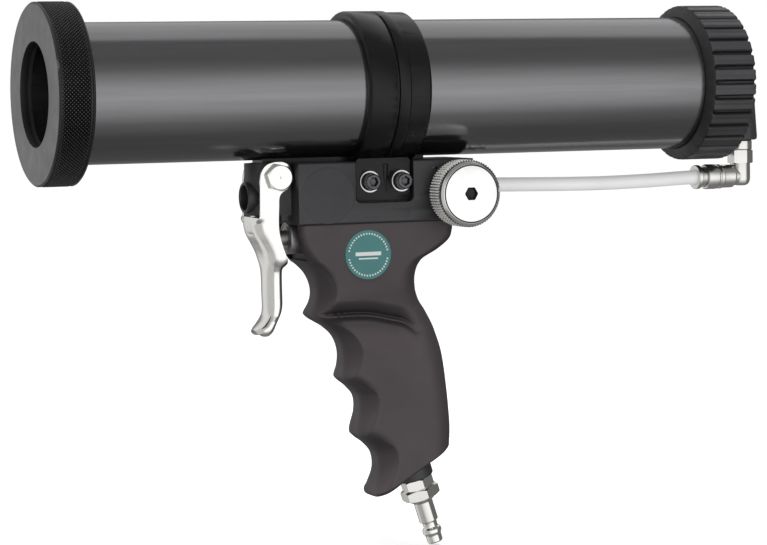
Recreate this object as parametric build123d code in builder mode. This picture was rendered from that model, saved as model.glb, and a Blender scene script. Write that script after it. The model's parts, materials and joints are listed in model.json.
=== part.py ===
from build123d import *
import math
import os

os.makedirs("parts", exist_ok=True)

# Pneumatic caulking gun. +X runs from the nozzle end to the rear cap, +Y to the far side, +Z up.
# The origin is the centre of the front ring's opening, on the barrel axis. Millimetres.

# ---------------------------------------------------------------- driving dimensions
tube_r = 28.0
bore_r = 26.0
tube_front_x = 4.8
tube_back_x = 290.0
running_gap = 0.05

ring_r = 36.2
ring_length = 14.6
ring_wall = 3.2
nozzle_r = 20.7
seat_washer_thick = 1.5

cap_front_x = 282.6
cap_cone_x = 284.8
cap_back_x = 305.0
cap_r = 33.0
cap_rib_count = 32
cap_groove_width = 1.3
cap_groove_depth = 1.3
cap_hole_r = 21.9
plug_flange_r = 29.5
plug_flange_x = 290.3
plug_boss_x = 315.2
plug_boss_r = 7.4
plug_boss_bottom_z = -25.1

piston_front_x = 258.0
piston_back_x = 276.0
piston_r = 25.7
piston_groove_x = 270.0

band_front_x = 130.1
band_back_x = 156.3
band_r = 31.6
lug_outer_y = 14.4
lug_thick = 2.6
lug_front_x = 129.0
lug_back_x = 153.0
lug_bottom_z = -45.4
clamp_screw_xs = (134.9, 148.8)
clamp_screw_z = -37.5

block_front_x = 103.6
block_back_x = 181.0
block_half_w = 16.0
riser_x = 119.0
riser_r = 1.8
passage_z = -48.0
passage_r = 1.4
block_top_z = -29.2
block_bottom_z = -54.2
pocket_front_x = 128.2
pocket_back_x = 153.7
pocket_bottom_z = -46.1
pocket_floor_y = 11.8
nose_front_x = 86.7
nose_half_w = 7.2
nose_bottom_z = -50.2
set_screw_x = 99.6
set_screw_r = 2.4

exhaust_z = -43.0
exhaust_r = 6.45
exhaust_bore_r = 5.0
exhaust_front_x = 85.8
exhaust_back_x = 93.0

pivot_x = 97.1
pivot_z = -34.8
pivot_r = 3.0
bolt_hex_r = 5.77
cheek_head_r = 6.2
cheek_inner_y = 7.5
cheek_outer_y = 9.2
lever_finger_half_w = 6.6

stem_z = -59.8
stem_r = 3.05
stem_tip_x = 94.35
gland_front_x = 103.5
gland_r = 6.65
valve_r = 6.5
valve_back_x = 142.0

knob_x = 172.2
knob_z = -43.0
knob_r = 13.7
knob_face_r = 12.2
knob_back_y = -20.0
knob_face_y = -32.0
regulator_bore_r = 6.2
spindle_r = 2.5

grip_half_w = 15.5
trigger_pocket_half_w = 11.2
trigger_pocket_back_x = 110.0
trigger_pocket_floor_z = -69.0

inlet_x = 160.5
inlet_z = -165.6
inlet_lean = math.radians(17.4)
bushing_r = 7.75
bushing_end = -4.0
air_pipe_r = 5.0
plug_shank_r = 3.5

hose_r = 3.0
hose_bore_r = 2.0
hose_front_z = -41.0
hose_rear_z = -40.7
front_fitting_x = 181.0
rear_fitting_x = 297.1

sticker_x = 133.3
sticker_z = -67.0
sticker_r = 10.0

# ---------------------------------------------------------------- shared planes and axes
inlet_origin = (inlet_x, 0, inlet_z)
inlet_dir = (math.sin(inlet_lean), 0, -math.cos(inlet_lean))
inlet_side = (math.cos(inlet_lean), 0, math.sin(inlet_lean))
inlet_plane = Plane(origin=inlet_origin, x_dir=inlet_side, z_dir=(0, 1, 0))
inlet_axis = Axis(inlet_origin, inlet_dir)
inlet_cross = Plane(origin=inlet_origin, x_dir=inlet_side, z_dir=inlet_dir)

knob_plane = Plane(origin=(knob_x, 0, knob_z), x_dir=(1, 0, 0), z_dir=(0, 0, 1))
knob_axis = Axis((knob_x, 0, knob_z), (0, 1, 0))

pivot_plane = Plane(origin=(pivot_x, 0, pivot_z), x_dir=(1, 0, 0), z_dir=(0, 0, 1))
pivot_axis = Axis((pivot_x, 0, pivot_z), (0, 1, 0))

stem_plane = Plane(origin=(0, 0, stem_z), x_dir=(1, 0, 0), z_dir=(0, -1, 0))
stem_axis = Axis((0, 0, stem_z), (1, 0, 0))

exhaust_plane = Plane(origin=(0, 0, exhaust_z), x_dir=(1, 0, 0), z_dir=(0, -1, 0))
exhaust_axis = Axis((0, 0, exhaust_z), (1, 0, 0))


def x_plane(z, x=0.0):
    """Plane for profiles revolved about a line along X at height z: first x, then radius."""
    return Plane(origin=(x, 0, z), x_dir=(1, 0, 0), z_dir=(0, -1, 0))


# ---------------------------------------------------------------- barrel
with BuildPart() as barrel_tube:
    with BuildSketch(Plane.XZ):
        Polygon(
            (tube_front_x, bore_r), (tube_back_x, bore_r),
            (tube_back_x, tube_r), (tube_front_x, tube_r),
            align=None,
        )
    revolve(axis=Axis.X)
    chamfer(barrel_tube.edges().filter_by(GeomType.CIRCLE), 0.4)

# ---------------------------------------------------------------- front ring and its seat washer
with BuildPart() as front_ring:
    with BuildSketch(Plane.XZ):
        Polygon(
            (0, nozzle_r), (0, ring_r - 0.9), (0.9, ring_r), (ring_length - 0.9, ring_r),
            (ring_length, ring_r - 0.9), (ring_length, tube_r + running_gap),
            (ring_wall, tube_r + running_gap), (ring_wall, nozzle_r),
            align=None,
        )
    revolve(axis=Axis.X)

with BuildPart() as front_seat_washer:
    with BuildSketch(Plane.XZ):
        washer_x = ring_wall + 0.02
        Polygon(
            (washer_x, nozzle_r + 0.3), (washer_x, tube_r - 0.1),
            (washer_x + seat_washer_thick, tube_r - 0.1), (washer_x + seat_washer_thick, nozzle_r + 0.3),
            align=None,
        )
    revolve(axis=Axis.X)

# ---------------------------------------------------------------- rear cap, end plug and seals
with BuildPart() as rear_ring_nut:
    with BuildSketch(Plane.XZ):
        Polygon(
            (cap_front_x, tube_r + running_gap), (cap_front_x, tube_r + 0.6), (cap_cone_x, cap_r - 0.3),
            (cap_cone_x + 0.8, cap_r), (cap_back_x - 1.2, cap_r), (cap_back_x, cap_r - 1.2),
            (cap_back_x, cap_hole_r), (cap_back_x - 3.0, cap_hole_r),
            (cap_back_x - 3.0, plug_flange_r + 0.3), (plug_flange_x, plug_flange_r + 0.3),
            (plug_flange_x, tube_r + running_gap),
            align=None,
        )
    revolve(axis=Axis.X)
    with BuildSketch(Plane.YZ.offset(cap_cone_x + 0.8)):
        with PolarLocations(cap_r, cap_rib_count, start_angle=180 / cap_rib_count):
            Rectangle(2 * cap_groove_depth, cap_groove_width)
    extrude(amount=cap_back_x - cap_cone_x, mode=Mode.SUBTRACT)

with BuildPart() as rear_end_plug:
    with BuildSketch(Plane.XZ):
        Polygon(
            (283, 0), (283, bore_r - 0.1), (285, bore_r - 0.1), (285, bore_r - 2.2),
            (288, bore_r - 2.2), (288, bore_r - 0.1), (plug_flange_x, bore_r - 0.1),
            (plug_flange_x, plug_flange_r), (cap_back_x - 3.3, plug_flange_r),
            (cap_back_x - 3.3, cap_hole_r - 0.4), (cap_back_x + 1.4, cap_hole_r - 0.4),
            (cap_back_x + 2.4, cap_hole_r - 1.4), (cap_back_x + 2.4, 0),
            align=None,
        )
    revolve(axis=Axis.X)
    with BuildSketch(Plane.XY.offset(plug_boss_bottom_z + 7)):
        with Locations((plug_boss_x - 6, 0)):
            Rectangle(12, 9)
    extrude(amount=9)
    with BuildSketch(Plane(origin=(plug_boss_x, 0, plug_boss_bottom_z), x_dir=(1, 0, 0), z_dir=(0, -1, 0))):
        Polygon(
            (0, 0), (plug_boss_r - 1.0, 0), (plug_boss_r - 0.2, 0.4), (plug_boss_r, 1.4),
            (plug_boss_r - 0.9, 15.6), (plug_boss_r - 2.2, 17.9), (0, 18.5),
            align=None,
        )
    revolve(axis=Axis((plug_boss_x, 0, 0), (0, 0, 1)))
    with BuildSketch(Plane.XY.offset(plug_boss_bottom_z)):
        with Locations((plug_boss_x, 0)):
            Circle(4.0)
    extrude(amount=12, mode=Mode.SUBTRACT)
    with BuildSketch(Plane.YZ.offset(280)):
        with Locations((0, plug_boss_bottom_z + 11)):
            Circle(2.0)
    extrude(amount=plug_boss_x - 280, mode=Mode.SUBTRACT)

with BuildPart() as rear_seal_ring:
    with BuildSketch(Plane.XZ):
        with Locations((286.5, bore_r - 1.15)):
            Circle(1.05)
    revolve(axis=Axis.X)

# ---------------------------------------------------------------- thrust piston inside the barrel
with BuildPart() as thrust_piston:
    with BuildSketch(Plane.XZ):
        Polygon(
            (piston_front_x, 0), (piston_front_x, 14), (piston_front_x + 4, piston_r - 1.5),
            (piston_front_x + 6, piston_r), (piston_groove_x - 1.5, piston_r),
            (piston_groove_x - 1.5, piston_r - 2.2), (piston_groove_x + 1.5, piston_r - 2.2),
            (piston_groove_x + 1.5, piston_r), (piston_back_x, piston_r),
            (piston_back_x, piston_r - 3), (piston_front_x + 4, piston_r - 5), (piston_front_x + 4, 0),
            align=None,
        )
    revolve(axis=Axis.X)

with BuildPart() as piston_seal:
    with BuildSketch(Plane.XZ):
        with Locations((piston_groove_x, bore_r - running_gap - 1.2)):
            Circle(1.2)
    revolve(axis=Axis.X)

# ---------------------------------------------------------------- barrel clamp with its screws
with BuildPart() as barrel_clamp:
    with BuildSketch(Plane.XZ):
        Polygon(
            (band_front_x - 0.9, tube_r), (band_front_x - 0.9, band_r - 1.2), (band_front_x, band_r - 0.2),
            (band_front_x + 0.6, band_r), (band_front_x + 10.8, band_r), (band_front_x + 10.9, band_r - 0.9),
            (band_front_x + 11.8, band_r - 0.9), (band_front_x + 12.0, band_r), (band_front_x + 16.4, band_r),
            (band_front_x + 17.0, band_r - 0.5), (band_back_x - 1.2, band_r - 0.5),
            (band_back_x, band_r - 1.6), (band_back_x, tube_r),
            align=None,
        )
    revolve(axis=Axis.X)
    for side in (-1, 1):
        lug_y = side * (lug_outer_y - lug_thick / 2)
        with BuildSketch(Plane(origin=(0, lug_y, 0), x_dir=(1, 0, 0), z_dir=(0, -1, 0))):
            with Locations(((lug_front_x + lug_back_x) / 2, lug_bottom_z / 2 - 14)):
                RectangleRounded(lug_back_x - lug_front_x, -lug_bottom_z - 28, 2)
        extrude(amount=lug_thick / 2, both=True)
    with BuildSketch(Plane.XZ):
        with Locations(*[(x, clamp_screw_z) for x in clamp_screw_xs]):
            Circle(2.1)
    extrude(amount=30, both=True, mode=Mode.SUBTRACT)
    with BuildSketch(Plane.YZ.offset(band_front_x - 10)):
        Circle(tube_r)
    extrude(amount=60, mode=Mode.SUBTRACT)

washer_y = lug_outer_y
head_y = washer_y + 0.8
with BuildPart() as clamp_washers:
    for side in (-1, 1):
        with BuildSketch(Plane(origin=(0, side * washer_y, 0), x_dir=(1, 0, 0), z_dir=(0, side, 0))):
            with Locations(*[(x, -side * clamp_screw_z) for x in clamp_screw_xs]):
                Circle(4.4)
                Circle(2.15, mode=Mode.SUBTRACT)
        extrude(amount=0.8)

with BuildPart() as clamp_screws:
    for side in (-1, 1):
        outward = Plane(origin=(0, side * head_y, 0), x_dir=(1, 0, 0), z_dir=(0, side, 0))
        spots = [(x, -side * clamp_screw_z) for x in clamp_screw_xs]
        with BuildSketch(outward):
            with Locations(*spots):
                Circle(3.3)
        extrude(amount=4.0)
        with BuildSketch(outward.offset(-9.0)):
            with Locations(*spots):
                Circle(2.0)
        extrude(amount=9.0)
        with BuildSketch(outward.offset(4.0)):
            with Locations(*spots):
                RegularPolygon(1.75, 6)
        extrude(amount=-2.2, mode=Mode.SUBTRACT)

# ---------------------------------------------------------------- frame block
with BuildPart() as frame_block:
    with BuildSketch(Plane.XZ):
        Polygon(
            (block_front_x, block_bottom_z), (block_back_x, block_bottom_z),
            (block_back_x, block_top_z), (block_front_x, block_top_z),
            align=None,
        )
    extrude(amount=block_half_w, both=True)
    chamfer(frame_block.edges().filter_by(Axis.X), 0.6)
    chamfer(frame_block.edges().filter_by(Axis.Z).sort_by(Axis.X)[-2:], 1.5)
    with BuildSketch(Plane.XY.offset(nose_bottom_z)):
        with Locations((nose_front_x + nose_half_w, 0)):
            Circle(nose_half_w)
        with Locations(((nose_front_x + nose_half_w + block_front_x + 1) / 2, 0)):
            Rectangle(block_front_x + 1 - nose_front_x - nose_half_w, 2 * nose_half_w)
    extrude(amount=block_top_z - nose_bottom_z)
    # cradle for the clamp band and the two pockets for its lugs
    with BuildSketch(Plane.YZ.offset(band_front_x - 1.4)):
        Circle(band_r + 0.2)
    extrude(amount=band_back_x - band_front_x + 1.9, mode=Mode.SUBTRACT)
    for side in (-1, 1):
        outward = Plane(origin=(0, side * block_half_w, 0), x_dir=(1, 0, 0), z_dir=(0, side, 0))
        with BuildSketch(outward):
            pocket_height = block_top_z - pocket_bottom_z + 6
            with Locations(((pocket_front_x + pocket_back_x) / 2,
                            -side * (pocket_bottom_z + pocket_height / 2))):
                RectangleRounded(pocket_back_x - pocket_front_x, pocket_height, 2.4)
        extrude(amount=-(block_half_w - pocket_floor_y), mode=Mode.SUBTRACT)
    # tapped holes for the clamp screws
    with BuildSketch(Plane.XZ.offset(-block_half_w)):
        with Locations(*[(x, clamp_screw_z) for x in clamp_screw_xs]):
            Circle(2.0)
    extrude(amount=2 * block_half_w, mode=Mode.SUBTRACT)
    # exhaust bore and the passage behind it
    with BuildSketch(Plane.YZ.offset(nose_front_x - 5)):
        with Locations((0, exhaust_z)):
            Circle(exhaust_r)
    extrude(amount=exhaust_back_x - nose_front_x + 5, mode=Mode.SUBTRACT)
    with BuildSketch(Plane.YZ.offset(exhaust_back_x - 1)):
        with Locations((0, exhaust_z)):
            Circle(2.5)
    extrude(amount=20, mode=Mode.SUBTRACT)
    # pivot hole through the nose
    with BuildSketch(Plane.XZ):
        with Locations((pivot_x, pivot_z)):
            Circle(pivot_r)
    extrude(amount=nose_half_w + 1, both=True, mode=Mode.SUBTRACT)
    # hole for the set screw under the nose
    with BuildSketch(Plane.XY.offset(nose_bottom_z - 1)):
        with Locations((set_screw_x, 0)):
            Circle(set_screw_r)
    extrude(amount=4.0, mode=Mode.SUBTRACT)
    # groove for the valve under the block
    with BuildSketch(Plane.YZ.offset(block_front_x - 1)):
        with Locations((0, stem_z)):
            Circle(gland_r + 0.05)
    extrude(amount=gland_front_x + 4.1 - block_front_x + 1, mode=Mode.SUBTRACT)
    with BuildSketch(Plane.YZ.offset(block_front_x)):
        with Locations((0, stem_z)):
            Circle(valve_r)
    extrude(amount=valve_back_x + 2 - block_front_x, mode=Mode.SUBTRACT)
    # regulator bore, the riser and passage to it from the valve, and the hose port behind it
    with BuildSketch(Plane.XZ.offset(block_half_w)):
        with Locations((knob_x, knob_z)):
            Circle(regulator_bore_r)
    extrude(amount=-(block_half_w + 12), mode=Mode.SUBTRACT)
    with BuildSketch(Plane.XY.offset(block_bottom_z)):
        with Locations((riser_x, 0)):
            Circle(riser_r)
    extrude(amount=passage_z - block_bottom_z, mode=Mode.SUBTRACT)
    with BuildSketch(Plane.YZ.offset(riser_x)):
        with Locations((0, passage_z)):
            Circle(passage_r)
    extrude(amount=knob_x - riser_x, mode=Mode.SUBTRACT)
    with BuildSketch(Plane.YZ.offset(knob_x)):
        with Locations((0, hose_front_z)):
            Circle(riser_r)
    extrude(amount=block_back_x - knob_x + 1, mode=Mode.SUBTRACT)

with BuildPart() as exhaust_port:
    with BuildSketch(exhaust_plane):
        Polygon(
            (exhaust_front_x, exhaust_bore_r + 0.5), (exhaust_front_x, exhaust_r - 0.6),
            (exhaust_front_x + 0.6, exhaust_r), (exhaust_back_x, exhaust_r),
            (exhaust_back_x, exhaust_bore_r), (exhaust_front_x + 0.5, exhaust_bore_r),
            align=None,
        )
    revolve(axis=exhaust_axis)

with BuildPart() as nose_set_screw:
    with BuildSketch(Plane.XY.offset(nose_bottom_z - 3.4)):
        with Locations((set_screw_x, 0)):
            Circle(set_screw_r)
    extrude(amount=6.4)
    with BuildSketch(Plane.XY.offset(nose_bottom_z - 3.4)):
        with Locations((set_screw_x, 0)):
            RegularPolygon(1.2, 6)
    extrude(amount=1.8, mode=Mode.SUBTRACT)

# ---------------------------------------------------------------- trigger, its bolt and nut
with BuildPart() as trigger:
    with BuildSketch(Plane.XZ):
        with BuildLine():
            Polyline((89.4, -36), (89.0, -48), (90.1, -57.4), (94.0, -65.3), (95.2, -70.5))
            Spline((95.2, -70.5), (95.1, -82), (94.4, -91), (90.4, -98.4))
            Polyline((90.4, -98.4), (91.0, -99.4), (93.4, -99.4), (97.8, -91), (98.8, -82))
            Polyline((98.8, -82), (98.8, -70.5), (100.0, -67.5), (97.0, -55), (97.4, -43), (97.4, -36))
            Line((97.4, -36), (89.4, -36))
        make_face()
        with Locations((pivot_x, pivot_z)):
            Circle(cheek_head_r)
    extrude(amount=cheek_outer_y, both=True)
    # the lever narrows to the finger part
    with BuildSketch(Plane.YZ.offset(80)):
        Polygon(
            (-cheek_outer_y, -20), (cheek_outer_y, -20), (cheek_outer_y, -67),
            (lever_finger_half_w, -74), (lever_finger_half_w, -96), (lever_finger_half_w - 2.5, -101),
            (2.5 - lever_finger_half_w, -101), (-lever_finger_half_w, -96), (-lever_finger_half_w, -74),
            (-cheek_outer_y, -67),
            align=None,
        )
    extrude(amount=40, mode=Mode.INTERSECT)
    # hollow between the cheeks, open at the top and at the back
    with BuildSketch(Plane.XZ):
        Polygon(
            (91.3, -49), (91.3, -56.9), (95.5, -64.6), (97.0, -70.3), (97.0, -82), (96.2, -92),
            (104, -92), (110, -60), (110, -20), (80, -20), (80, -50.4), (91.3, -50.4),
            align=None,
        )
    extrude(amount=cheek_inner_y, both=True, mode=Mode.SUBTRACT)
    with BuildSketch(Plane.XZ):
        with Locations((pivot_x, pivot_z)):
            Circle(pivot_r + running_gap)
    extrude(amount=20, both=True, mode=Mode.SUBTRACT)

with BuildPart() as trigger_bolt:
    with BuildSketch(pivot_plane):
        Polygon(
            (0, -cheek_outer_y - 0.1), (pivot_r, -cheek_outer_y - 0.1), (pivot_r, cheek_outer_y + 5.0),
            (0, cheek_outer_y + 5.0),
            align=None,
        )
    revolve(axis=pivot_axis)
    under_head = (pivot_x, -cheek_outer_y - 0.1, pivot_z)
    with BuildSketch(Plane(origin=under_head, x_dir=(0, 0, 1), z_dir=(0, -1, 0))):
        RegularPolygon(bolt_hex_r, 6)
    extrude(amount=4.0)
    head_face = trigger_bolt.faces().sort_by(Axis.Y)[0]
    chamfer(head_face.edges(), 0.5)

with BuildPart() as trigger_nut:
    nut_seat = (pivot_x, cheek_outer_y + 0.1, pivot_z)
    with BuildSketch(Plane(origin=nut_seat, x_dir=(0, 0, 1), z_dir=(0, 1, 0))):
        RegularPolygon(bolt_hex_r, 6)
        Circle(pivot_r, mode=Mode.SUBTRACT)
    extrude(amount=4.4)

# ---------------------------------------------------------------- air valve
with BuildPart() as valve_gland:
    with BuildSketch(stem_plane):
        Polygon(
            (gland_front_x, stem_r + running_gap), (gland_front_x, gland_r - 0.5),
            (gland_front_x + 0.5, gland_r), (gland_front_x + 4.0, gland_r), (gland_front_x + 4.0, 4.75),
            (gland_front_x + 9.0, 4.75), (gland_front_x + 9.0, stem_r + running_gap),
            align=None,
        )
    revolve(axis=stem_axis)

with BuildPart() as valve_body:
    with BuildSketch(stem_plane):
        Polygon(
            (gland_front_x + 4.1, 4.75), (gland_front_x + 4.1, valve_r), (valve_back_x, valve_r),
            (valve_back_x, 4.6), (121, 4.6), (121, 2.4), (118, 2.4), (118, 3.8), (112.6, 3.8), (112.6, 4.75),
            align=None,
        )
    revolve(axis=stem_axis)
    with BuildSketch(Plane.XY.offset(stem_z)):
        with Locations((115, 0)):
            Circle(1.6)
    extrude(amount=valve_r + 1, mode=Mode.SUBTRACT)
    with BuildSketch(inlet_cross.offset(-98)):
        Circle(3.2)
    extrude(amount=-10, mode=Mode.SUBTRACT)

with BuildPart() as valve_plug:
    with BuildSketch(stem_plane):
        Polygon(
            (137.5, 0), (137.5, 4.55), (valve_back_x, 4.55), (valve_back_x, valve_r),
            (valve_back_x + 2, valve_r), (valve_back_x + 2, 0),
            align=None,
        )
    revolve(axis=stem_axis)

with BuildPart() as valve_stem:
    with BuildSketch(stem_plane):
        with BuildLine():
            dome_back_x = stem_tip_x + stem_r
            CenterArc((dome_back_x, 0), stem_r, 90, 90)
            Polyline(
                (dome_back_x, stem_r), (113.5, stem_r), (113.5, 1.5), (121.3, 1.5), (121.3, 1.8),
                (122.4, 1.8), (122.4, 4.0), (124.4, 4.0), (124.4, 1.6), (129, 1.6), (129, 0), (stem_tip_x, 0),
            )
        make_face()
    revolve(axis=stem_axis)

with BuildPart() as poppet_seal:
    with BuildSketch(stem_plane):
        Polygon((121.3, 1.85), (121.3, 3.9), (122.35, 3.9), (122.35, 1.85), align=None)
    revolve(axis=stem_axis)

with BuildPart() as valve_spring:
    with BuildLine() as spring_line:
        Helix(pitch=2.0, height=12.0, radius=3.0, center=(124.9, 0, stem_z), direction=(1, 0, 0))
    with BuildSketch(Plane(origin=spring_line.line @ 0, z_dir=spring_line.line % 0)):
        Circle(0.45)
    sweep(is_frenet=True)

# ---------------------------------------------------------------- flow regulator
with BuildPart() as regulator_bonnet:
    with BuildSketch(knob_plane):
        Polygon(
            (spindle_r + running_gap, -10), (regulator_bore_r, -10), (regulator_bore_r, -block_half_w),
            (11.0, -block_half_w), (11.0, -19.2), (10.6, -19.6), (spindle_r + running_gap, -19.6),
            align=None,
        )
    revolve(axis=knob_axis)

with BuildPart() as regulator_knob:
    with BuildSketch(knob_plane):
        Polygon(
            (spindle_r, knob_back_y), (knob_r - 0.6, knob_back_y), (knob_r, knob_back_y - 0.6),
            (knob_r, knob_face_y + 1.9), (knob_face_r, knob_face_y), (0, knob_face_y),
            (0, -29.0), (spindle_r, -29.0),
            align=None,
        )
    revolve(axis=knob_axis)
    with BuildSketch(Plane(origin=(knob_x, knob_face_y, knob_z), x_dir=(1, 0, 0), z_dir=(0, -1, 0))):
        RegularPolygon(2.6, 6)
    extrude(amount=-2.8, mode=Mode.SUBTRACT)

with BuildPart() as regulator_spindle:
    with BuildSketch(knob_plane):
        Polygon(
            (0, -28.9), (spindle_r, -28.9), (spindle_r, -9.6), (4.2, -9.6), (4.2, -8.2), (1.5, -8.2),
            (1.5, -1.0), (0, -1.0),
            align=None,
        )
    revolve(axis=knob_axis)

with BuildPart() as regulator_needle:
    with BuildSketch(knob_plane):
        Polygon(
            (1.55, -5.5), (regulator_bore_r - 0.1, -5.5), (regulator_bore_r - 0.1, -0.2), (3.0, 0.4),
            (1.2, 6.5), (0, 6.5), (0, 1.2), (1.55, 1.2),
            align=None,
        )
    revolve(axis=knob_axis)

# ---------------------------------------------------------------- grip
# height, front and back of each cross-section; the upper ones also have a corner radius
grip_upper_sections = [
    (-54.2, 104.6, 172.6, 2.5),
    (-58.0, 104.8, 172.6, 3.5),
    (-62.0, 105.6, 171.3, 5.0),
    (-66.0, 107.0, 166.4, 7.5),
    (-70.0, 108.9, 159.8, 10.0),
    (-76.0, 114.2, 157.4, 11.0),
    (-82.0, 115.6, 157.7, 11.5),
    (-87.0, 114.8, 159.8, 12.0),
    (-91.0, 113.2, 161.8, 12.5),
]
grip_lower_sections = [
    (-90.6, 111.9, 163.4),
    (-93.6, 113.0, 164.6),
    (-97.0, 119.8, 165.8),
    (-101.0, 124.0, 167.4),
    (-107.0, 126.2, 169.2),
    (-113.0, 125.4, 170.3),
    (-117.5, 125.2, 171.0),
    (-121.0, 128.6, 171.4),
    (-126.0, 132.7, 172.0),
    (-132.0, 133.1, 172.4),
    (-139.8, 131.9, 172.9),
    (-144.0, 134.8, 172.8),
    (-149.0, 139.2, 172.8),
    (-156.0, 141.0, 173.2),
    (-162.0, 139.8, 172.8),
    (-169.0, 138.2, 172.4),
]
grip_front_r = 9.5
grip_palm_r = 13.0

with BuildPart() as grip:
    for height, front, back, corner in grip_upper_sections:
        with BuildSketch(Plane.XY.offset(height)):
            with Locations(((front + back) / 2, 0)):
                RectangleRounded(back - front, 2 * grip_half_w, corner)
    loft()
    for height, front, back in grip_lower_sections:
        with BuildSketch(Plane.XY.offset(height)):
            with Locations((front + grip_front_r, 0)):
                Circle(grip_front_r)
            with Locations((back - grip_palm_r, 0)):
                Circle(grip_palm_r)
            make_hull()
    loft()
    # slanted bottom with its rounded heel
    with BuildSketch(Plane.XZ):
        with BuildLine():
            Polyline((100, -50), (100, -168), (134, -168))
            Spline((134, -168), (140, -166.8), (148.5, -162.4), (158, -156.8))
            Line((158, -156.8), (171.4, -147.0))
            Polyline((171.4, -147.0), (180, -140), (180, -50), (100, -50))
        make_face()
    extrude(amount=grip_half_w + 1, both=True, mode=Mode.INTERSECT)
    # pocket for the trigger's cheeks
    with BuildSketch(Plane.XZ):
        Polygon(
            (100, -50), (trigger_pocket_back_x, -50), (trigger_pocket_back_x, trigger_pocket_floor_z + 2),
            (trigger_pocket_back_x - 2, trigger_pocket_floor_z), (100, trigger_pocket_floor_z),
            align=None,
        )
    extrude(amount=trigger_pocket_half_w, both=True, mode=Mode.SUBTRACT)
    # bore for the valve
    with BuildSketch(Plane.YZ.offset(100)):
        with Locations((0, stem_z)):
            Circle(valve_r)
    extrude(amount=valve_back_x + 2 - 100, mode=Mode.SUBTRACT)
    # riser from the valve to the frame block
    with BuildSketch(Plane.XY.offset(stem_z)):
        with Locations((riser_x, 0)):
            Circle(riser_r)
    extrude(amount=10, mode=Mode.SUBTRACT)
    # bore for the air pipe and the socket for its bushing
    with BuildSketch(inlet_cross.offset(4)):
        Circle(air_pipe_r)
    extrude(amount=-108, mode=Mode.SUBTRACT)
    with BuildSketch(inlet_cross.offset(4)):
        Circle(bushing_r)
    extrude(amount=bushing_end - 16, mode=Mode.SUBTRACT)

with BuildPart() as sticker:
    with BuildSketch(Plane(origin=(sticker_x, -grip_half_w, sticker_z), x_dir=(1, 0, 0), z_dir=(0, -1, 0))):
        Circle(sticker_r)
    extrude(amount=0.3)

# ---------------------------------------------------------------- air inlet
with BuildPart() as air_pipe:
    with BuildSketch(inlet_plane):
        Polygon(
            (3.4, -99.5), (air_pipe_r, -99.5), (air_pipe_r, bushing_end - 0.8), (3.4, bushing_end - 0.8),
            align=None,
        )
    revolve(axis=inlet_axis)
    with BuildSketch(Plane.YZ.offset(100)):
        with Locations((0, stem_z)):
            Circle(valve_r)
    extrude(amount=60, mode=Mode.SUBTRACT)

with BuildPart() as inlet_bushing:
    with BuildSketch(inlet_plane):
        Polygon(
            (air_pipe_r, bushing_end - 12), (bushing_r, bushing_end - 12), (bushing_r, bushing_end - 0.6),
            (bushing_r - 0.6, bushing_end), (air_pipe_r, bushing_end),
            align=None,
        )
    revolve(axis=inlet_axis)

with BuildPart() as inlet_adapter:
    with BuildSketch(inlet_cross.offset(bushing_end)):
        RegularPolygon(6.95, 6)
        Circle(air_pipe_r, mode=Mode.SUBTRACT)
    extrude(amount=0.3 - bushing_end)
    with BuildSketch(inlet_plane):
        Polygon(
            (3.2, bushing_end - 0.7), (air_pipe_r, bushing_end - 0.7), (air_pipe_r, 0.3), (3.2, 0.3),
            align=None,
        )
    revolve(axis=inlet_axis)

with BuildPart() as inlet_plug:
    with BuildSketch(inlet_cross.offset(0.3)):
        RegularPolygon(8.25, 6)
    extrude(amount=4.4)
    with BuildSketch(inlet_plane):
        Polygon((0, 0.3), (7.2, 0.3), (8.3, 0.9), (8.3, 4.1), (7.2, 4.7), (0, 4.7), align=None)
    revolve(axis=inlet_axis, mode=Mode.INTERSECT)
    with BuildSketch(inlet_plane):
        Polygon(
            (0, 4.6), (6.0, 4.6), (5.8, 5.4), (plug_shank_r, 7.0), (plug_shank_r, 15.0), (2.5, 15.7),
            (2.5, 18.0), (3.45, 19.1), (3.45, 20.3), (2.7, 21.6), (2.7, 24.7), (2.4, 25.1), (0, 25.1),
            align=None,
        )
    revolve(axis=inlet_axis)
    with BuildSketch(inlet_cross):
        Circle(1.7)
    extrude(amount=30, mode=Mode.SUBTRACT)

# ---------------------------------------------------------------- hose fitting on the frame block
with BuildPart() as front_fitting:
    with BuildSketch(x_plane(hose_front_z)):
        Polygon(
            (front_fitting_x, 2.2), (front_fitting_x, 5.4), (front_fitting_x + 9.6, 5.4),
            (front_fitting_x + 10.2, 4.9), (front_fitting_x + 10.2, 4.3), (front_fitting_x + 5.0, 4.3),
            (front_fitting_x + 5.0, hose_r), (front_fitting_x + 2.0, hose_r), (front_fitting_x + 2.0, 2.2),
            align=None,
        )
    revolve(axis=Axis((0, 0, hose_front_z), (1, 0, 0)))

with BuildPart() as front_release_collar:
    with BuildSketch(x_plane(hose_front_z)):
        Polygon(
            (front_fitting_x + 7.5, hose_r + 0.1), (front_fitting_x + 7.5, 4.2), (front_fitting_x + 12.4, 4.2),
            (front_fitting_x + 12.4, 5.0), (front_fitting_x + 14.2, 5.0), (front_fitting_x + 14.2, hose_r + 0.1),
            align=None,
        )
    revolve(axis=Axis((0, 0, hose_front_z), (1, 0, 0)))

# ---------------------------------------------------------------- elbow fitting under the end plug
with BuildPart() as elbow_stud:
    with BuildSketch(Plane.XY.offset(plug_boss_bottom_z - 4.4)):
        with Locations((plug_boss_x, 0)):
            Circle(5.1)
    extrude(amount=4.4)
    with BuildSketch(Plane.XY.offset(plug_boss_bottom_z)):
        with Locations((plug_boss_x, 0)):
            Circle(4.0)
    extrude(amount=8.0)
    with BuildSketch(Plane.XY.offset(plug_boss_bottom_z - 4.4)):
        with Locations((plug_boss_x, 0)):
            Circle(1.8)
    extrude(amount=12.4, mode=Mode.SUBTRACT)

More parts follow.
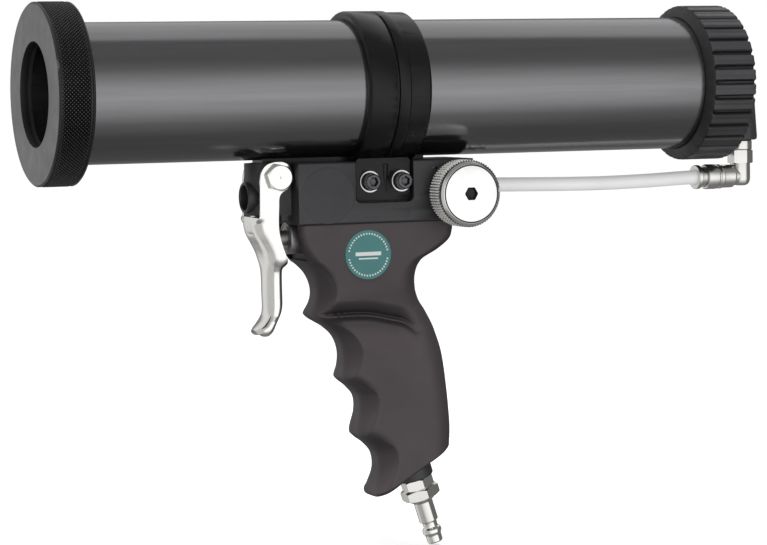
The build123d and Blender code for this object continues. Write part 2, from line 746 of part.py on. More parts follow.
elbow_top_z = plug_boss_bottom_z - 4.4
elbow_r = 4.3
with BuildPart() as rear_elbow:
    with BuildSketch(Plane.XY.offset(elbow_top_z)):
        with Locations((plug_boss_x, 0)):
            RegularPolygon(5.5, 6)
    extrude(amount=-5.7)
    # upright leg, rounded where it turns into the hose socket
    with BuildSketch(Plane(origin=(plug_boss_x, 0, hose_rear_z), x_dir=(1, 0, 0), z_dir=(0, -1, 0))):
        Polygon(
            (0, -elbow_r), (elbow_r - 1.6, -elbow_r), (elbow_r - 0.4, 0.6 - elbow_r),
            (elbow_r, 2.0 - elbow_r), (elbow_r, elbow_top_z - 5.0 - hose_rear_z),
            (0, elbow_top_z - 5.0 - hose_rear_z),
            align=None,
        )
    revolve(axis=Axis((plug_boss_x, 0, 0), (0, 0, 1)))
    with BuildSketch(x_plane(hose_rear_z)):
        Polygon(
            (rear_fitting_x, 0), (rear_fitting_x, 4.9), (rear_fitting_x + 0.5, 5.4), (rear_fitting_x + 5.6, 5.4),
            (rear_fitting_x + 6.2, 4.8), (rear_fitting_x + 6.8, 5.3), (rear_fitting_x + 8.0, 5.3),
            (rear_fitting_x + 8.0, 5.0), (rear_fitting_x + 13.6, 5.0), (rear_fitting_x + 14.0, 3.9),
            (plug_boss_x, 3.9), (plug_boss_x, 0),
            align=None,
        )
    revolve(axis=Axis((0, 0, hose_rear_z), (1, 0, 0)))
    with BuildSketch(x_plane(hose_rear_z)):
        Polygon(
            (rear_fitting_x - 1, 0), (rear_fitting_x - 1, 4.25), (rear_fitting_x + 5.2, 4.25),
            (rear_fitting_x + 5.2, hose_r), (rear_fitting_x + 8.2, hose_r), (rear_fitting_x + 8.2, 1.8),
            (plug_boss_x + 1.6, 1.8), (plug_boss_x + 1.6, 0),
            align=None,
        )
    revolve(axis=Axis((0, 0, hose_rear_z), (1, 0, 0)), mode=Mode.SUBTRACT)
    with BuildSketch(Plane.XY.offset(hose_rear_z)):
        with Locations((plug_boss_x, 0)):
            Circle(1.5)
    extrude(amount=elbow_top_z - hose_rear_z, mode=Mode.SUBTRACT)

with BuildPart() as rear_release_collar:
    with BuildSketch(x_plane(hose_rear_z)):
        Polygon(
            (rear_fitting_x + 2.7, hose_r + 0.1), (rear_fitting_x + 2.7, 4.2), (rear_fitting_x - 2.6, 4.2),
            (rear_fitting_x - 2.6, 5.2), (rear_fitting_x - 4.6, 5.2), (rear_fitting_x - 4.6, hose_r + 0.1),
            align=None,
        )
    revolve(axis=Axis((0, 0, hose_rear_z), (1, 0, 0)))

# ---------------------------------------------------------------- air hose
# straight inside both fittings, with a slight sag between them
hose_points = [
    (front_fitting_x + 2.0, hose_front_z),
    (front_fitting_x + 17.5, hose_front_z),
    (front_fitting_x + 39.0, hose_front_z - 0.55),
    (front_fitting_x + 66.0, hose_front_z - 1.0),
    (rear_fitting_x - 24.0, hose_rear_z - 0.75),
    (rear_fitting_x - 8.0, hose_rear_z),
    (rear_fitting_x + 8.2, hose_rear_z),
]


def arc_radii(points):
    """Largest even arc at each corner: 0.45 of the shorter run over the tangent of half the turn."""
    radii = []
    for before, here, after in zip(points, points[1:], points[2:]):
        run_in = Vector(here[0] - before[0], here[1] - before[1], 0)
        run_out = Vector(after[0] - here[0], after[1] - here[1], 0)
        turn = math.radians(run_in.get_angle(run_out))
        radii.append(0.45 * min(run_in.length, run_out.length) / math.tan(turn / 2))
    return radii


hose_radii = arc_radii(hose_points)
print("hose arc radii", [round(radius) for radius in hose_radii])

with BuildPart() as air_hose:
    with BuildLine(Plane.XZ) as hose_route:
        FilletPolyline(*hose_points, radius=hose_radii)
    with BuildSketch(Plane.YZ.offset(hose_points[0][0])):
        with Locations((0, hose_front_z)):
            Circle(hose_r)
            Circle(hose_bore_r, mode=Mode.SUBTRACT)
    sweep()
print("hose length", round(sum(edge.length for edge in hose_route.edges()), 1))

# ---------------------------------------------------------------- labels and STEP files
pieces = {
    "barrel_tube": barrel_tube,
    "front_ring": front_ring,
    "front_seat_washer": front_seat_washer,
    "rear_ring_nut": rear_ring_nut,
    "rear_end_plug": rear_end_plug,
    "rear_seal_ring": rear_seal_ring,
    "thrust_piston": thrust_piston,
    "piston_seal": piston_seal,
    "barrel_clamp": barrel_clamp,
    "clamp_washers": clamp_washers,
    "clamp_screws": clamp_screws,
    "frame_block": frame_block,
    "exhaust_port": exhaust_port,
    "nose_set_screw": nose_set_screw,
    "trigger": trigger,
    "trigger_bolt": trigger_bolt,
    "trigger_nut": trigger_nut,
    "valve_gland": valve_gland,
    "valve_body": valve_body,
    "valve_plug": valve_plug,
    "valve_stem": valve_stem,
    "poppet_seal": poppet_seal,
    "valve_spring": valve_spring,
    "regulator_bonnet": regulator_bonnet,
    "regulator_knob": regulator_knob,
    "regulator_spindle": regulator_spindle,
    "regulator_needle": regulator_needle,
    "grip": grip,
    "sticker": sticker,
    "air_pipe": air_pipe,
    "inlet_bushing": inlet_bushing,
    "inlet_adapter": inlet_adapter,
    "inlet_plug": inlet_plug,
    "front_fitting": front_fitting,
    "front_release_collar": front_release_collar,
    "elbow_stud": elbow_stud,
    "rear_elbow": rear_elbow,
    "rear_release_collar": rear_release_collar,
    "air_hose": air_hose,
}
for node, piece in pieces.items():
    piece.part.label = node
    export_step(piece.part, f"parts/{node}.step")
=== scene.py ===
import json
import math

import bmesh
import bpy
from mathutils import Matrix, Vector


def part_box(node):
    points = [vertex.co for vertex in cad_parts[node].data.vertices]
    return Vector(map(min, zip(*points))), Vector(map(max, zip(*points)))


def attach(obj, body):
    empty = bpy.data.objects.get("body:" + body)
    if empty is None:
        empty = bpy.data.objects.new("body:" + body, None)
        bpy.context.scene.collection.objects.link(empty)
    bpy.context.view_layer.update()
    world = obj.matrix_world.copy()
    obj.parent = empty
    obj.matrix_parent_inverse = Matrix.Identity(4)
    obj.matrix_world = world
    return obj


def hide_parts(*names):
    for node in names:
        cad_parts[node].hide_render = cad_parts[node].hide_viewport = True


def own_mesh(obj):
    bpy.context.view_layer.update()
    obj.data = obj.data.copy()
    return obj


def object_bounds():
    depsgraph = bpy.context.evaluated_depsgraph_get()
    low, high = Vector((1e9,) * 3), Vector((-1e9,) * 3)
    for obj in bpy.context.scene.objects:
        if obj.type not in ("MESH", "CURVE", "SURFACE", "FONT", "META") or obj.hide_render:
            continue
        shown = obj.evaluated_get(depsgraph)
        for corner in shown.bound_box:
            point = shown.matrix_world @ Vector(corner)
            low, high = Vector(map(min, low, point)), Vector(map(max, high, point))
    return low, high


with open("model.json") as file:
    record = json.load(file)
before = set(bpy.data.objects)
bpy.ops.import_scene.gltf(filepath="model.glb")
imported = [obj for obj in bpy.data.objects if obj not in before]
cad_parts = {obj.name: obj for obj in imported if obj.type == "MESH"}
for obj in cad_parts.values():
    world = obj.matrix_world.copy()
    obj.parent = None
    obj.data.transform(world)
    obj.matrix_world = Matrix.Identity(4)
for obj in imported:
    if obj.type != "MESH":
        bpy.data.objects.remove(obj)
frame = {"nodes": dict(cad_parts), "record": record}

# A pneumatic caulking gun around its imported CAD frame. Lengths in the helpers below are millimetres,
# in the CAD frame: +X towards the rear cap, +Y to the far side, +Z up.
MM = 0.001
CAD_LOW, CAD_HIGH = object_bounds()


def box_mm(node):
    low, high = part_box(node)
    return low / MM, high / MM


# ---------------------------------------------------------------- camera
CAMERA_PLACE = (-287.6, -1039.5, 5.6)
CAMERA_YAW = 22.66
CAMERA_PITCH = 4.13
CAMERA_ROLL = -0.93
CAMERA_LENS = 128.6


def make_camera():
    yaw, pitch, roll = (math.radians(a) for a in (CAMERA_YAW, CAMERA_PITCH, CAMERA_ROLL))
    look = Vector((math.sin(yaw) * math.cos(pitch), math.cos(yaw) * math.cos(pitch), -math.sin(pitch)))
    level = Vector((math.cos(yaw), -math.sin(yaw), 0))
    above = level.cross(look)
    right = level * math.cos(roll) + above * math.sin(roll)
    up = above * math.cos(roll) - level * math.sin(roll)
    data = bpy.data.cameras.new("camera")
    data.lens = CAMERA_LENS
    data.sensor_width = 36.0
    data.clip_start = 0.05
    data.clip_end = 30.0
    camera = bpy.data.objects.new("camera", data)
    turn = Matrix((right, up, -look)).transposed().to_4x4()
    camera.matrix_world = Matrix.Translation(Vector(CAMERA_PLACE) * MM) @ turn
    bpy.context.scene.collection.objects.link(camera)
    bpy.context.scene.camera = camera


# ---------------------------------------------------------------- shader nodes
class Tree:
    """The nodes of a material or of the world, with short calls for the kinds used here."""

    def __init__(self, owner):
        owner.use_nodes = True
        self.nodes = owner.node_tree.nodes
        self.links = owner.node_tree.links

    def feed(self, value, socket):
        """Connect a socket to another node's output, or set it to a plain value."""
        if isinstance(value, bpy.types.NodeSocket):
            self.links.new(value, socket)
        else:
            socket.default_value = value

    def add(self, kind, **inputs):
        made = self.nodes.new("ShaderNode" + kind)
        for label, value in inputs.items():
            self.feed(value, made.inputs[label.replace("_", " ")])
        return made

    def calculate(self, operation, *values):
        made = self.add("Math")
        made.operation = operation
        for value, socket in zip(values, made.inputs):
            self.feed(value, socket)
        return made.outputs[0]

    def remap(self, value, low, high, start=0.35, end=0.65, blend="LINEAR"):
        made = self.add("MapRange", Value=value, From_Min=start, From_Max=end, To_Min=low, To_Max=high)
        made.interpolation_type = blend
        return made.outputs[0]

    def mix(self, first, second, factor=1.0, blend="MIX"):
        made = self.add("Mix")
        made.data_type = "RGBA"
        made.blend_type = blend
        for label, value in (("A", first), ("B", second), ("Factor", factor)):
            self.feed(value, made.inputs[label])
        return made.outputs["Result"]

    def axes(self, vector):
        split = self.add("SeparateXYZ", Vector=vector)
        return [split.outputs[axis] for axis in "XYZ"]

    def noise(self, vector, scale, detail=4.0):
        return self.add("TexNoise", Vector=vector, Scale=scale, Detail=detail).outputs["Fac"]


# ---------------------------------------------------------------- studio
# Brightness of the long softboxes beside the gun, by roll angle about X: 0 is level in front, 90 is overhead
SOFTBOX_STOPS = [
    (-180, 0.30), (-140, 0.20), (-75, 0.22), (-50, 0.45), (-28, 1.05), (-10, 1.35), (10, 1.15), (36, 0.42),
    (50, 0.26), (90, 0.24), (96, 0.85), (125, 0.90), (152, 0.75), (164, 0.15), (180, 0.30),
]
# A bright wall behind and to the left, seen in the front faces of the trigger and the knob's rim: the X and Y
# of the directions where it begins, and its brightness
WALL_START = (-0.1, 0.25)
WALL_BLEND = 0.25
WALL_LEVEL = 0.75
# The studio is darker beyond both ends of the gun: side and brightness, then the X of the directions where
# it fades
DARK_ENDS = ((-1, 0.55), (1, 0.16))
DARK_SPAN = (0.62, 0.82)
# The floor: millimetres below the gun, then metres, and the strength of its own light
FLOOR_DROP = 0.5
FLOOR_RADIUS = 12
FLOOR_MIDDLE = 0.15
FLOOR_GLOW = 0.55


def make_world():
    world = bpy.data.worlds.new("studio")
    bpy.context.scene.world = world
    tree = Tree(world)
    tree.nodes.clear()
    x, y, z = tree.axes(tree.add("TexCoord").outputs["Generated"])
    roll = tree.calculate("ARCTAN2", z, tree.calculate("MULTIPLY", y, -1.0))
    ramp = tree.add("ValToRGB")
    tree.feed(tree.remap(roll, 0, 1, -math.pi, math.pi), ramp.inputs[0])
    stops = ramp.color_ramp.elements
    while len(stops) < len(SOFTBOX_STOPS):
        stops.new(0.5)
    for stop, (angle, level) in zip(stops, SOFTBOX_STOPS):
        stop.position = angle / 360 + 0.5
        stop.color = (level, level, level * 1.01, 1)
    left, back = WALL_START
    wall_left = tree.remap(x, 0, 1, left, left - WALL_BLEND, "SMOOTHSTEP")
    wall_back = tree.remap(y, 0, 1, back, back + WALL_BLEND, "SMOOTHSTEP")
    wall = tree.calculate("MULTIPLY", wall_left, wall_back)
    shade = tree.mix(ramp.outputs[0], (WALL_LEVEL, WALL_LEVEL, WALL_LEVEL, 1), wall)
    for side, level in DARK_ENDS:
        end = tree.remap(x, 0, 1, side * DARK_SPAN[0], side * DARK_SPAN[1], "SMOOTHSTEP")
        shade = tree.mix(shade, (level, level, level, 1), end)
    softboxes = tree.add("Background", Color=shade)
    backdrop = tree.add("Background", Color=(1, 1, 1, 1))
    seen = tree.add("LightPath").outputs["Is Camera Ray"]
    shown = tree.add("MixShader")
    for value, socket in zip((seen, softboxes.outputs[0], backdrop.outputs[0]), shown.inputs):
        tree.feed(value, socket)
    tree.add("OutputWorld", Surface=shown.outputs[0])


def make_floor():
    height = CAD_LOW.z - FLOOR_DROP * MM
    bpy.ops.mesh.primitive_circle_add(vertices=96, radius=FLOOR_RADIUS, fill_type="NGON",
                                      location=(FLOOR_MIDDLE, 0, height))
    floor = bpy.context.object
    floor.name = "floor"
    floor.visible_glossy = False
    floor.visible_diffuse = False
    made = principled("floor_pale", (0.9, 0.9, 0.9), 0, 0.9, Emission_Color=(1, 1, 1, 1),
                      Emission_Strength=FLOOR_GLOW)[0]
    floor.data.materials.append(made)


def make_light(name, place, target, size, power):
    data = bpy.data.lights.new(name, "AREA")
    data.shape = "RECTANGLE"
    data.size, data.size_y = size
    data.energy = power
    light = bpy.data.objects.new(name, data)
    light.location = place
    aim = Vector(target) - Vector(place)
    light.rotation_mode = "QUATERNION"
    light.rotation_quaternion = aim.to_track_quat("-Z", "Y")
    light.visible_glossy = False
    light.visible_camera = False
    bpy.context.scene.collection.objects.link(light)


# ---------------------------------------------------------------- materials
GRAIN_DEPTH = 0.02


def principled(name, color, metallic, rough, **more):
    """A material with its node tree and its shader; more holds other inputs of the shader by name."""
    made = bpy.data.materials.new(name)
    tree = Tree(made)
    shader = tree.nodes["Principled BSDF"]
    shader.inputs["Base Color"].default_value = (*color, 1)
    shader.inputs["Metallic"].default_value = metallic
    shader.inputs["Roughness"].default_value = rough
    for label, value in more.items():
        shader.inputs[label.replace("_", " ")].default_value = value
    return made, tree, shader


def surface(name, color, metallic, rough, vary=0.12, blotch=45.0, rough_vary=0.06, grain=900.0, bump=0.15,
            stretch=(1, 1, 1), worn=None, hollow=None, sky=None, **more):
    """A finish with colour blotches, uneven gloss, a fine grain, and rubbed edges where worn is a colour.

    Painted shade and light: one option gives the reach in mm and the tint left in hollows, painted shade in
    them, and another the tints of faces that look down and up, painted shade below and painted light above.
    """
    made, tree, shader = principled(name, color, metallic, rough, **more)
    place = tree.add("Mapping", Vector=tree.add("TexCoord").outputs["Object"], Scale=stretch).outputs[0]
    darker, lighter = ((*[c * level for c in color], 1) for level in (1 - vary, 1 + vary))
    tint = tree.mix(darker, lighter, tree.remap(tree.noise(place, blotch), 0, 1))
    grains = tree.noise(place, grain, 3.0)
    if worn:
        rubbed = tree.remap(tree.add("NewGeometry").outputs["Pointiness"], 0, 0.7, 0.53, 0.62)
        patchy = tree.calculate("MULTIPLY", rubbed, tree.remap(grains, 0.2, 1))
        tint = tree.mix(tint, (*worn, 1), patchy)
    # Painted shade: the colour is darkened in hollows, as far as ambient occlusion finds them.
    if hollow:
        reach, left = hollow
        occlusion_shade = tree.add("AmbientOcclusion", Distance=reach * MM)
        occlusion_shade.samples = 8
        occlusion_shade.only_local = True
        tint = tree.mix(tint, tree.remap(occlusion_shade.outputs["AO"], left, 1, 0.4, 0.95), blend="MULTIPLY")
    # Painted light and shade: faces that look down get a darker colour and faces that look up a lighter one.
    if sky:
        height = tree.axes(tree.add("NewGeometry").outputs["Normal"])[2]
        tint = tree.mix(tint, tree.remap(height, *sky, -0.6, 0.6), blend="MULTIPLY")
    tree.feed(tint, shader.inputs["Base Color"])
    gloss = tree.remap(tree.noise(place, blotch * 3), rough - rough_vary, rough + rough_vary)
    tree.feed(gloss, shader.inputs["Roughness"])
    raised = tree.add("Bump", Strength=bump, Distance=GRAIN_DEPTH * MM, Height=grains)
    tree.feed(raised.outputs[0], shader.inputs["Normal"])
    return made


# How the noise is stretched along X on drawn tube
DRAWN = (6, 130, 130)
# Every material by name: colour, metallic, roughness and what differs from a plain finish
FINISHES = {
    "barrel_anodised": ((0.206, 0.206, 0.21), 0.92, 0.17, dict(vary=0.05, blotch=2.2, rough_vary=0.03,
        grain=9, bump=0.06, stretch=DRAWN)),
    "ring_anodised": ((0.034, 0.034, 0.036), 0.5, 0.36, dict(worn=(0.3, 0.3, 0.3))),
    "ring_face": ((0.20, 0.20, 0.205), 0.75, 0.42, dict(vary=0.06, grain=500, bump=0.08)),
    "cap_plastic": ((0.042, 0.042, 0.045), 0, 0.42, dict(grain=1400, bump=0.2, worn=(0.09, 0.09, 0.09))),
    # Painted shade: a darker copy of the cap's plastic for its deep grooves and its front cone.
    "cap_shade": ((0.012, 0.012, 0.013), 0, 0.5, dict(grain=1400, bump=0.1)),
    "clamp_enamel": ((0.007, 0.007, 0.008), 0, 0.26, dict(vary=0.1, rough_vary=0.05, grain=260, bump=0.05,
        Specular_IOR_Level=0.25)),
    "frame_anodised": ((0.036, 0.036, 0.039), 0, 0.42, dict(vary=0.06, blotch=25, grain=1500, bump=0.05,
        worn=(0.05, 0.05, 0.052), Specular_IOR_Level=0.4)),
    "nose_anodised": ((0.030, 0.030, 0.033), 0, 0.42, dict(vary=0.08, grain=1100, bump=0.1,
        worn=(0.12, 0.12, 0.125))),
    # The grip's colour holds painted shade in its hollows and on faces that look down, and painted light on
    # faces that look up.
    "grip_plastic": ((0.068, 0.056, 0.061), 0, 0.52, dict(vary=0.05, blotch=22, grain=1500, bump=0.15,
        hollow=(5, 0.4), sky=(0.55, 1.35), Specular_IOR_Level=0.4)),
    "trigger_nickel": ((0.86, 0.85, 0.82), 1, 0.17, dict(vary=0.04, blotch=30, grain=8, bump=0.05,
        stretch=(40, 140, 10))),
    "bolt_nickel": ((0.84, 0.83, 0.80), 1, 0.16, dict(vary=0.04, grain=700, bump=0.05)),
    # Painted light: a near white, not metallic copy of the knob's nickel keeps the knurl's teeth bright.
    "knurl_painted_light": ((0.95, 0.94, 0.91), 0, 0.3, dict(vary=0.1, grain=900, bump=0.05)),
    "knob_nickel": ((0.86, 0.855, 0.83), 1, 0.15, dict(vary=0.03, grain=600, bump=0.04)),
    "plug_nickel": ((0.80, 0.79, 0.75), 1, 0.10, dict(vary=0.06, grain=700, bump=0.06)),
    "fitting_nickel": ((0.72, 0.71, 0.68), 1, 0.2, dict(vary=0.05, grain=700, bump=0.08)),
    "valve_metal": ((0.42, 0.41, 0.40), 0.8, 0.42, dict(vary=0.06, grain=700, bump=0.05)),
    "screw_steel": ((0.10, 0.10, 0.105), 0.9, 0.28, dict(vary=0.1, grain=800, bump=0.1,
        worn=(0.5, 0.5, 0.5))),
    "washer_steel": ((0.62, 0.62, 0.62), 1, 0.22, dict(vary=0.06, grain=700, bump=0.06)),
    "spring_steel": ((0.5, 0.5, 0.5), 1, 0.25, dict(vary=0.08)),
    "pipe_aluminium": ((0.7, 0.7, 0.7), 1, 0.3, dict(vary=0.05)),
    "piston_plastic": ((0.03, 0.03, 0.032), 0, 0.5, dict(vary=0.1)),
    "rubber": ((0.02, 0.02, 0.02), 0, 0.6, dict(vary=0.15)),
    # Painted light: the hose glows faintly with a light of its own.
    "hose_plastic": ((0.86, 0.86, 0.86), 0, 0.3, dict(vary=0.04, blotch=60, grain=300, bump=0.08,
        Emission_Color=(0.9, 0.9, 0.9, 1), Emission_Strength=0.22)),
    "sticker_teal": ((0.046, 0.205, 0.197), 0, 0.34, dict(vary=0.05, grain=1500, bump=0.05)),
    "sticker_white": ((0.75, 0.8, 0.79), 0, 0.4, dict(vary=0.03, grain=1500, bump=0.05)),
    # Painted shade: a near black colour put in the ring's bore, the knob's groove and socket, and the gaps of
    # its knurl.
    "painted_gap_shade": ((0.012, 0.012, 0.013), 0, 0.6, dict(vary=0.1)),
}


# ---------------------------------------------------------------- mesh helpers
def add_object(name, mesh, body, slot, nodes, material=None):
    """A piece that rides on body and stands for the nodes, in the slot's material unless another is named."""
    for face in mesh.polygons:
        face.use_smooth = True
    mesh.materials.append(MATERIALS[material or slot])
    piece = bpy.data.objects.new(name, mesh)
    bpy.context.scene.collection.objects.link(piece)
    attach(piece, body)
    if nodes:
        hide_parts(*nodes)
    return piece


def add_piece(name, verts, faces, body, slot, nodes=(), sharp=35, material=None, outward=True):
    """A piece from verts in millimetres, with edges over sharp degrees kept hard."""
    mesh = bpy.data.meshes.new(name)
    mesh.from_pydata([Vector(v) * MM for v in verts], [], faces)
    tidy = bmesh.new()
    tidy.from_mesh(mesh)
    bmesh.ops.remove_doubles(tidy, verts=tidy.verts, dist=0.0005 * MM)
    if outward:
        bmesh.ops.recalc_face_normals(tidy, faces=tidy.faces)
    tidy.to_mesh(mesh)
    tidy.free()
    piece = add_object(name, mesh, body, slot, nodes, material)
    mesh.set_sharp_from_angle(angle=math.radians(sharp))
    return piece


def paint(piece, material, chosen):
    """Another material on the faces for which chosen(centre in mm, normal) is true."""
    piece.data.materials.append(MATERIALS[material])
    index = len(piece.data.materials) - 1
    for face in piece.data.polygons:
        if chosen(face.center / MM, face.normal):
            face.material_index = index


def add_bevel(piece, width, segments, angle=None):
    """Round the piece's edges, or only those sharper than angle degrees."""
    bevel = piece.modifiers.new("edges", "BEVEL")
    bevel.width = width * MM
    bevel.segments = segments
    if angle:
        bevel.limit_method = "ANGLE"
        bevel.angle_limit = math.radians(angle)
    return bevel


ALONG = (1, 0, 0)
NEARER = (0, -1, 0)
UP = (0, 0, 1)
TINY = 1e-6
# A rounded corner takes up to this share of its shorter side, and corners straighter than this cosine stay
CORNER_SHARE = 0.42
STRAIGHT = -0.985


def rounded(outline, size, steps=3, closed=True):
    """The outline with each corner off the axis turned into a small curve."""
    made = []
    count = len(outline)
    for k, point in enumerate(outline):
        here = Vector(point)
        back = Vector(outline[k - 1]) - here
        ahead = Vector(outline[(k + 1) % count]) - here
        at_end = not closed and k in (0, count - 1)
        if at_end or here.y < TINY or min(back.length, ahead.length) < TINY:
            made.append(tuple(here))
            continue
        reach = min(size, CORNER_SHARE * back.length, CORNER_SHARE * ahead.length)
        back.normalize()
        ahead.normalize()
        if back.dot(ahead) < STRAIGHT:
            made.append(tuple(here))
            continue
        start = here + back * reach
        end = here + ahead * reach
        for step in range(steps + 1):
            t = step / steps
            made.append(tuple(start * (1 - t) ** 2 + here * 2 * t * (1 - t) + end * t * t))
    return made


def bridge(first, second):
    """Faces between two rings of vertex numbers; a ring of one vertex is a pole."""
    if len(first) == 1 and len(second) == 1:
        return []
    count = max(len(first), len(second))
    faces = []
    for k in range(count):
        after = (k + 1) % count
        if len(first) == 1:
            faces.append((first[0], second[after], second[k]))
        elif len(second) == 1:
            faces.append((first[k], first[after], second[0]))
        else:
            faces.append((first[k], first[after], second[after], second[k]))
    return faces


def spin(outline, origin, axis, segments, closed, shape=None, side=None):
    """Verts and faces of an outline of (along, radius) points turned about an axis.

    shape(angle, along, radius) may return a new (along, radius).
    """
    axis = Vector(axis).normalized()
    side = Vector(side).normalized() if side else axis.orthogonal().normalized()
    other = axis.cross(side)
    verts, rings = [], []
    for along, radius in outline:
        if radius < TINY:
            rings.append([len(verts)])
            verts.append(Vector(origin) + axis * along)
            continue
        ring = []
        for k in range(segments):
            angle = 2 * math.pi * k / segments
            place = shape(angle, along, radius) if shape else (along, radius)
            ring.append(len(verts))
            verts.append(Vector(origin) + axis * place[0]
                         + (side * math.cos(angle) + other * math.sin(angle)) * place[1])
        rings.append(ring)
    faces = []
    for first, second in zip(rings, rings[1:]):
        faces += bridge(first, second)
    if closed:
        faces += bridge(rings[-1], rings[0])
    return verts, faces


def lathe(name, outline, origin, axis, body, slot, nodes=(), segments=96, soft=0.25, closed=True,
          material=None):
    verts, faces = spin(rounded(outline, soft, closed=closed), origin, axis, segments, closed)
    return add_piece(name, verts, faces, body, slot, nodes, material=material)


def smooth(start, end, value):
    """0 before start, 1 past end, and an even change between them."""
    t = min(1.0, max(0.0, (value - start) / (end - start)))
    return t * t * (3 - 2 * t)


CHAMFER_SLOPE = 0.5


def hexagon(flat, top, face_r, both=True):
    """A shape for spin(): six flats at distance flat, with chamfers that meet a face of radius face_r.

    Rows are marked by radius: 1 is the flats at the bottom, 2 at the top.
    """
    def shape(angle, along, radius):
        turn = (angle + math.pi / 6) % (math.pi / 3) - math.pi / 6
        edge = flat / math.cos(turn)
        drop = max(0.0, edge - face_r) * CHAMFER_SLOPE
        if radius == 1:
            return (drop if both else 0.0, edge)
        if radius == 2:
            return (top - drop, edge)
        return (along, radius)
    return shape


def lerp_table(table, value):
    """Smooth value of a table of (key, value) rows, keys falling or rising."""
    rows = sorted(table)
    if value <= rows[0][0]:
        return rows[0][1]
    for k in range(len(rows) - 1):
        (x0, y0), (x1, y1) = rows[k], rows[k + 1]
        if value <= x1:
            before = rows[k - 1] if k > 0 else rows[k]
            after = rows[k + 2] if k + 2 < len(rows) else rows[k + 1]
            slope0 = (y1 - before[1]) / (x1 - before[0])
            slope1 = (after[1] - y0) / (after[0] - x0)
            width = x1 - x0
            t = (value - x0) / width
            return ((2 * t ** 3 - 3 * t ** 2 + 1) * y0 + (t ** 3 - 2 * t ** 2 + t) * width * slope0
                    + (3 * t ** 2 - 2 * t ** 3) * y1 + (t ** 3 - t ** 2) * width * slope1)
    return rows[-1][1]


def softened(name, node, body, slot, width):
    """A copy of a CAD node's shape, its hard edges rounded where width isn't 0."""
    mesh = frame["nodes"][node].data.copy()
    mesh.name = name
    tidy = bmesh.new()
    tidy.from_mesh(mesh)
    bmesh.ops.remove_doubles(tidy, verts=tidy.verts, dist=0.002 * MM)
    bmesh.ops.dissolve_limit(tidy, angle_limit=math.radians(1.0), verts=tidy.verts, edges=tidy.edges)
    tidy.to_mesh(mesh)
    tidy.free()
    mesh.materials.clear()
    piece = add_object(name, mesh, body, slot, [node])
    if width:
        add_bevel(piece, width, 2, 30).harden_normals = True
    return piece


# ---------------------------------------------------------------- barrel and its front ring
TUBE_RADIUS = box_mm("barrel_tube")[1].z
TUBE_WALL = 2.0
# The ring and the cap clear the tube by this much
TUBE_GAP = 0.05


def make_barrel():
    low, high = box_mm("barrel_tube")
    inner = TUBE_RADIUS - TUBE_WALL
    outline = [(low.x, inner), (high.x, inner), (high.x, TUBE_RADIUS), (low.x, TUBE_RADIUS)]
    lathe("barrel", outline, (0, 0, 0), ALONG, "gun", "barrel_anodised", ["barrel_tube"],
          segments=256, soft=0.4)


KNURL_COLUMNS = 150
KNURL_ROWS = 16
KNURL_DEPTH = 0.62
KNURL_START = 1.2
KNURL_FLAT = 0.34
RING_BORE = 20.7
RING_WALL = 3.2
# The turned step on the tube that the ring screws down to: its radius, and where it ends behind the ring
STEP_RADIUS = 30.6
STEP_END = 1.4


def knurled_band(point, faces, root, row_step, half_turn):
    """The diamonds of the knurl; returns their valley corners by column and row."""
    valley = {}
    for row in range(KNURL_ROWS + 1):
        for column in range(2 * KNURL_COLUMNS):
            if (row + column) % 2:
                valley[column, row] = point(KNURL_START + row * row_step, root, column * half_turn)
    for row in range(KNURL_ROWS + 1):
        for column in range(row % 2, 2 * KNURL_COLUMNS, 2):
            left = valley[(column - 1) % (2 * KNURL_COLUMNS), row]
            right = valley[(column + 1) % (2 * KNURL_COLUMNS), row]
            if row == 0:
                faces.append((left, right, valley[column, row + 1]))
                continue
            if row == KNURL_ROWS:
                faces.append((right, left, valley[column, row - 1]))
                continue
            below, above = valley[column, row - 1], valley[column, row + 1]
            # the knurl runs out towards both ends
            crest = root + KNURL_DEPTH * min(1, 0.45 + 0.3 * min(row, KNURL_ROWS - row))
            x, angle = KNURL_START + row * row_step, column * half_turn
            tops = [point(x, crest, angle - KNURL_FLAT * half_turn),
                    point(x - KNURL_FLAT * row_step, crest, angle),
                    point(x, crest, angle + KNURL_FLAT * half_turn),
                    point(x + KNURL_FLAT * row_step, crest, angle)]
            corners = [left, below, right, above]
            faces.append(tuple(tops))
            for k in range(4):
                after = (k + 1) % 4
                faces.append((corners[k], corners[after], tops[after], tops[k]))
    return valley


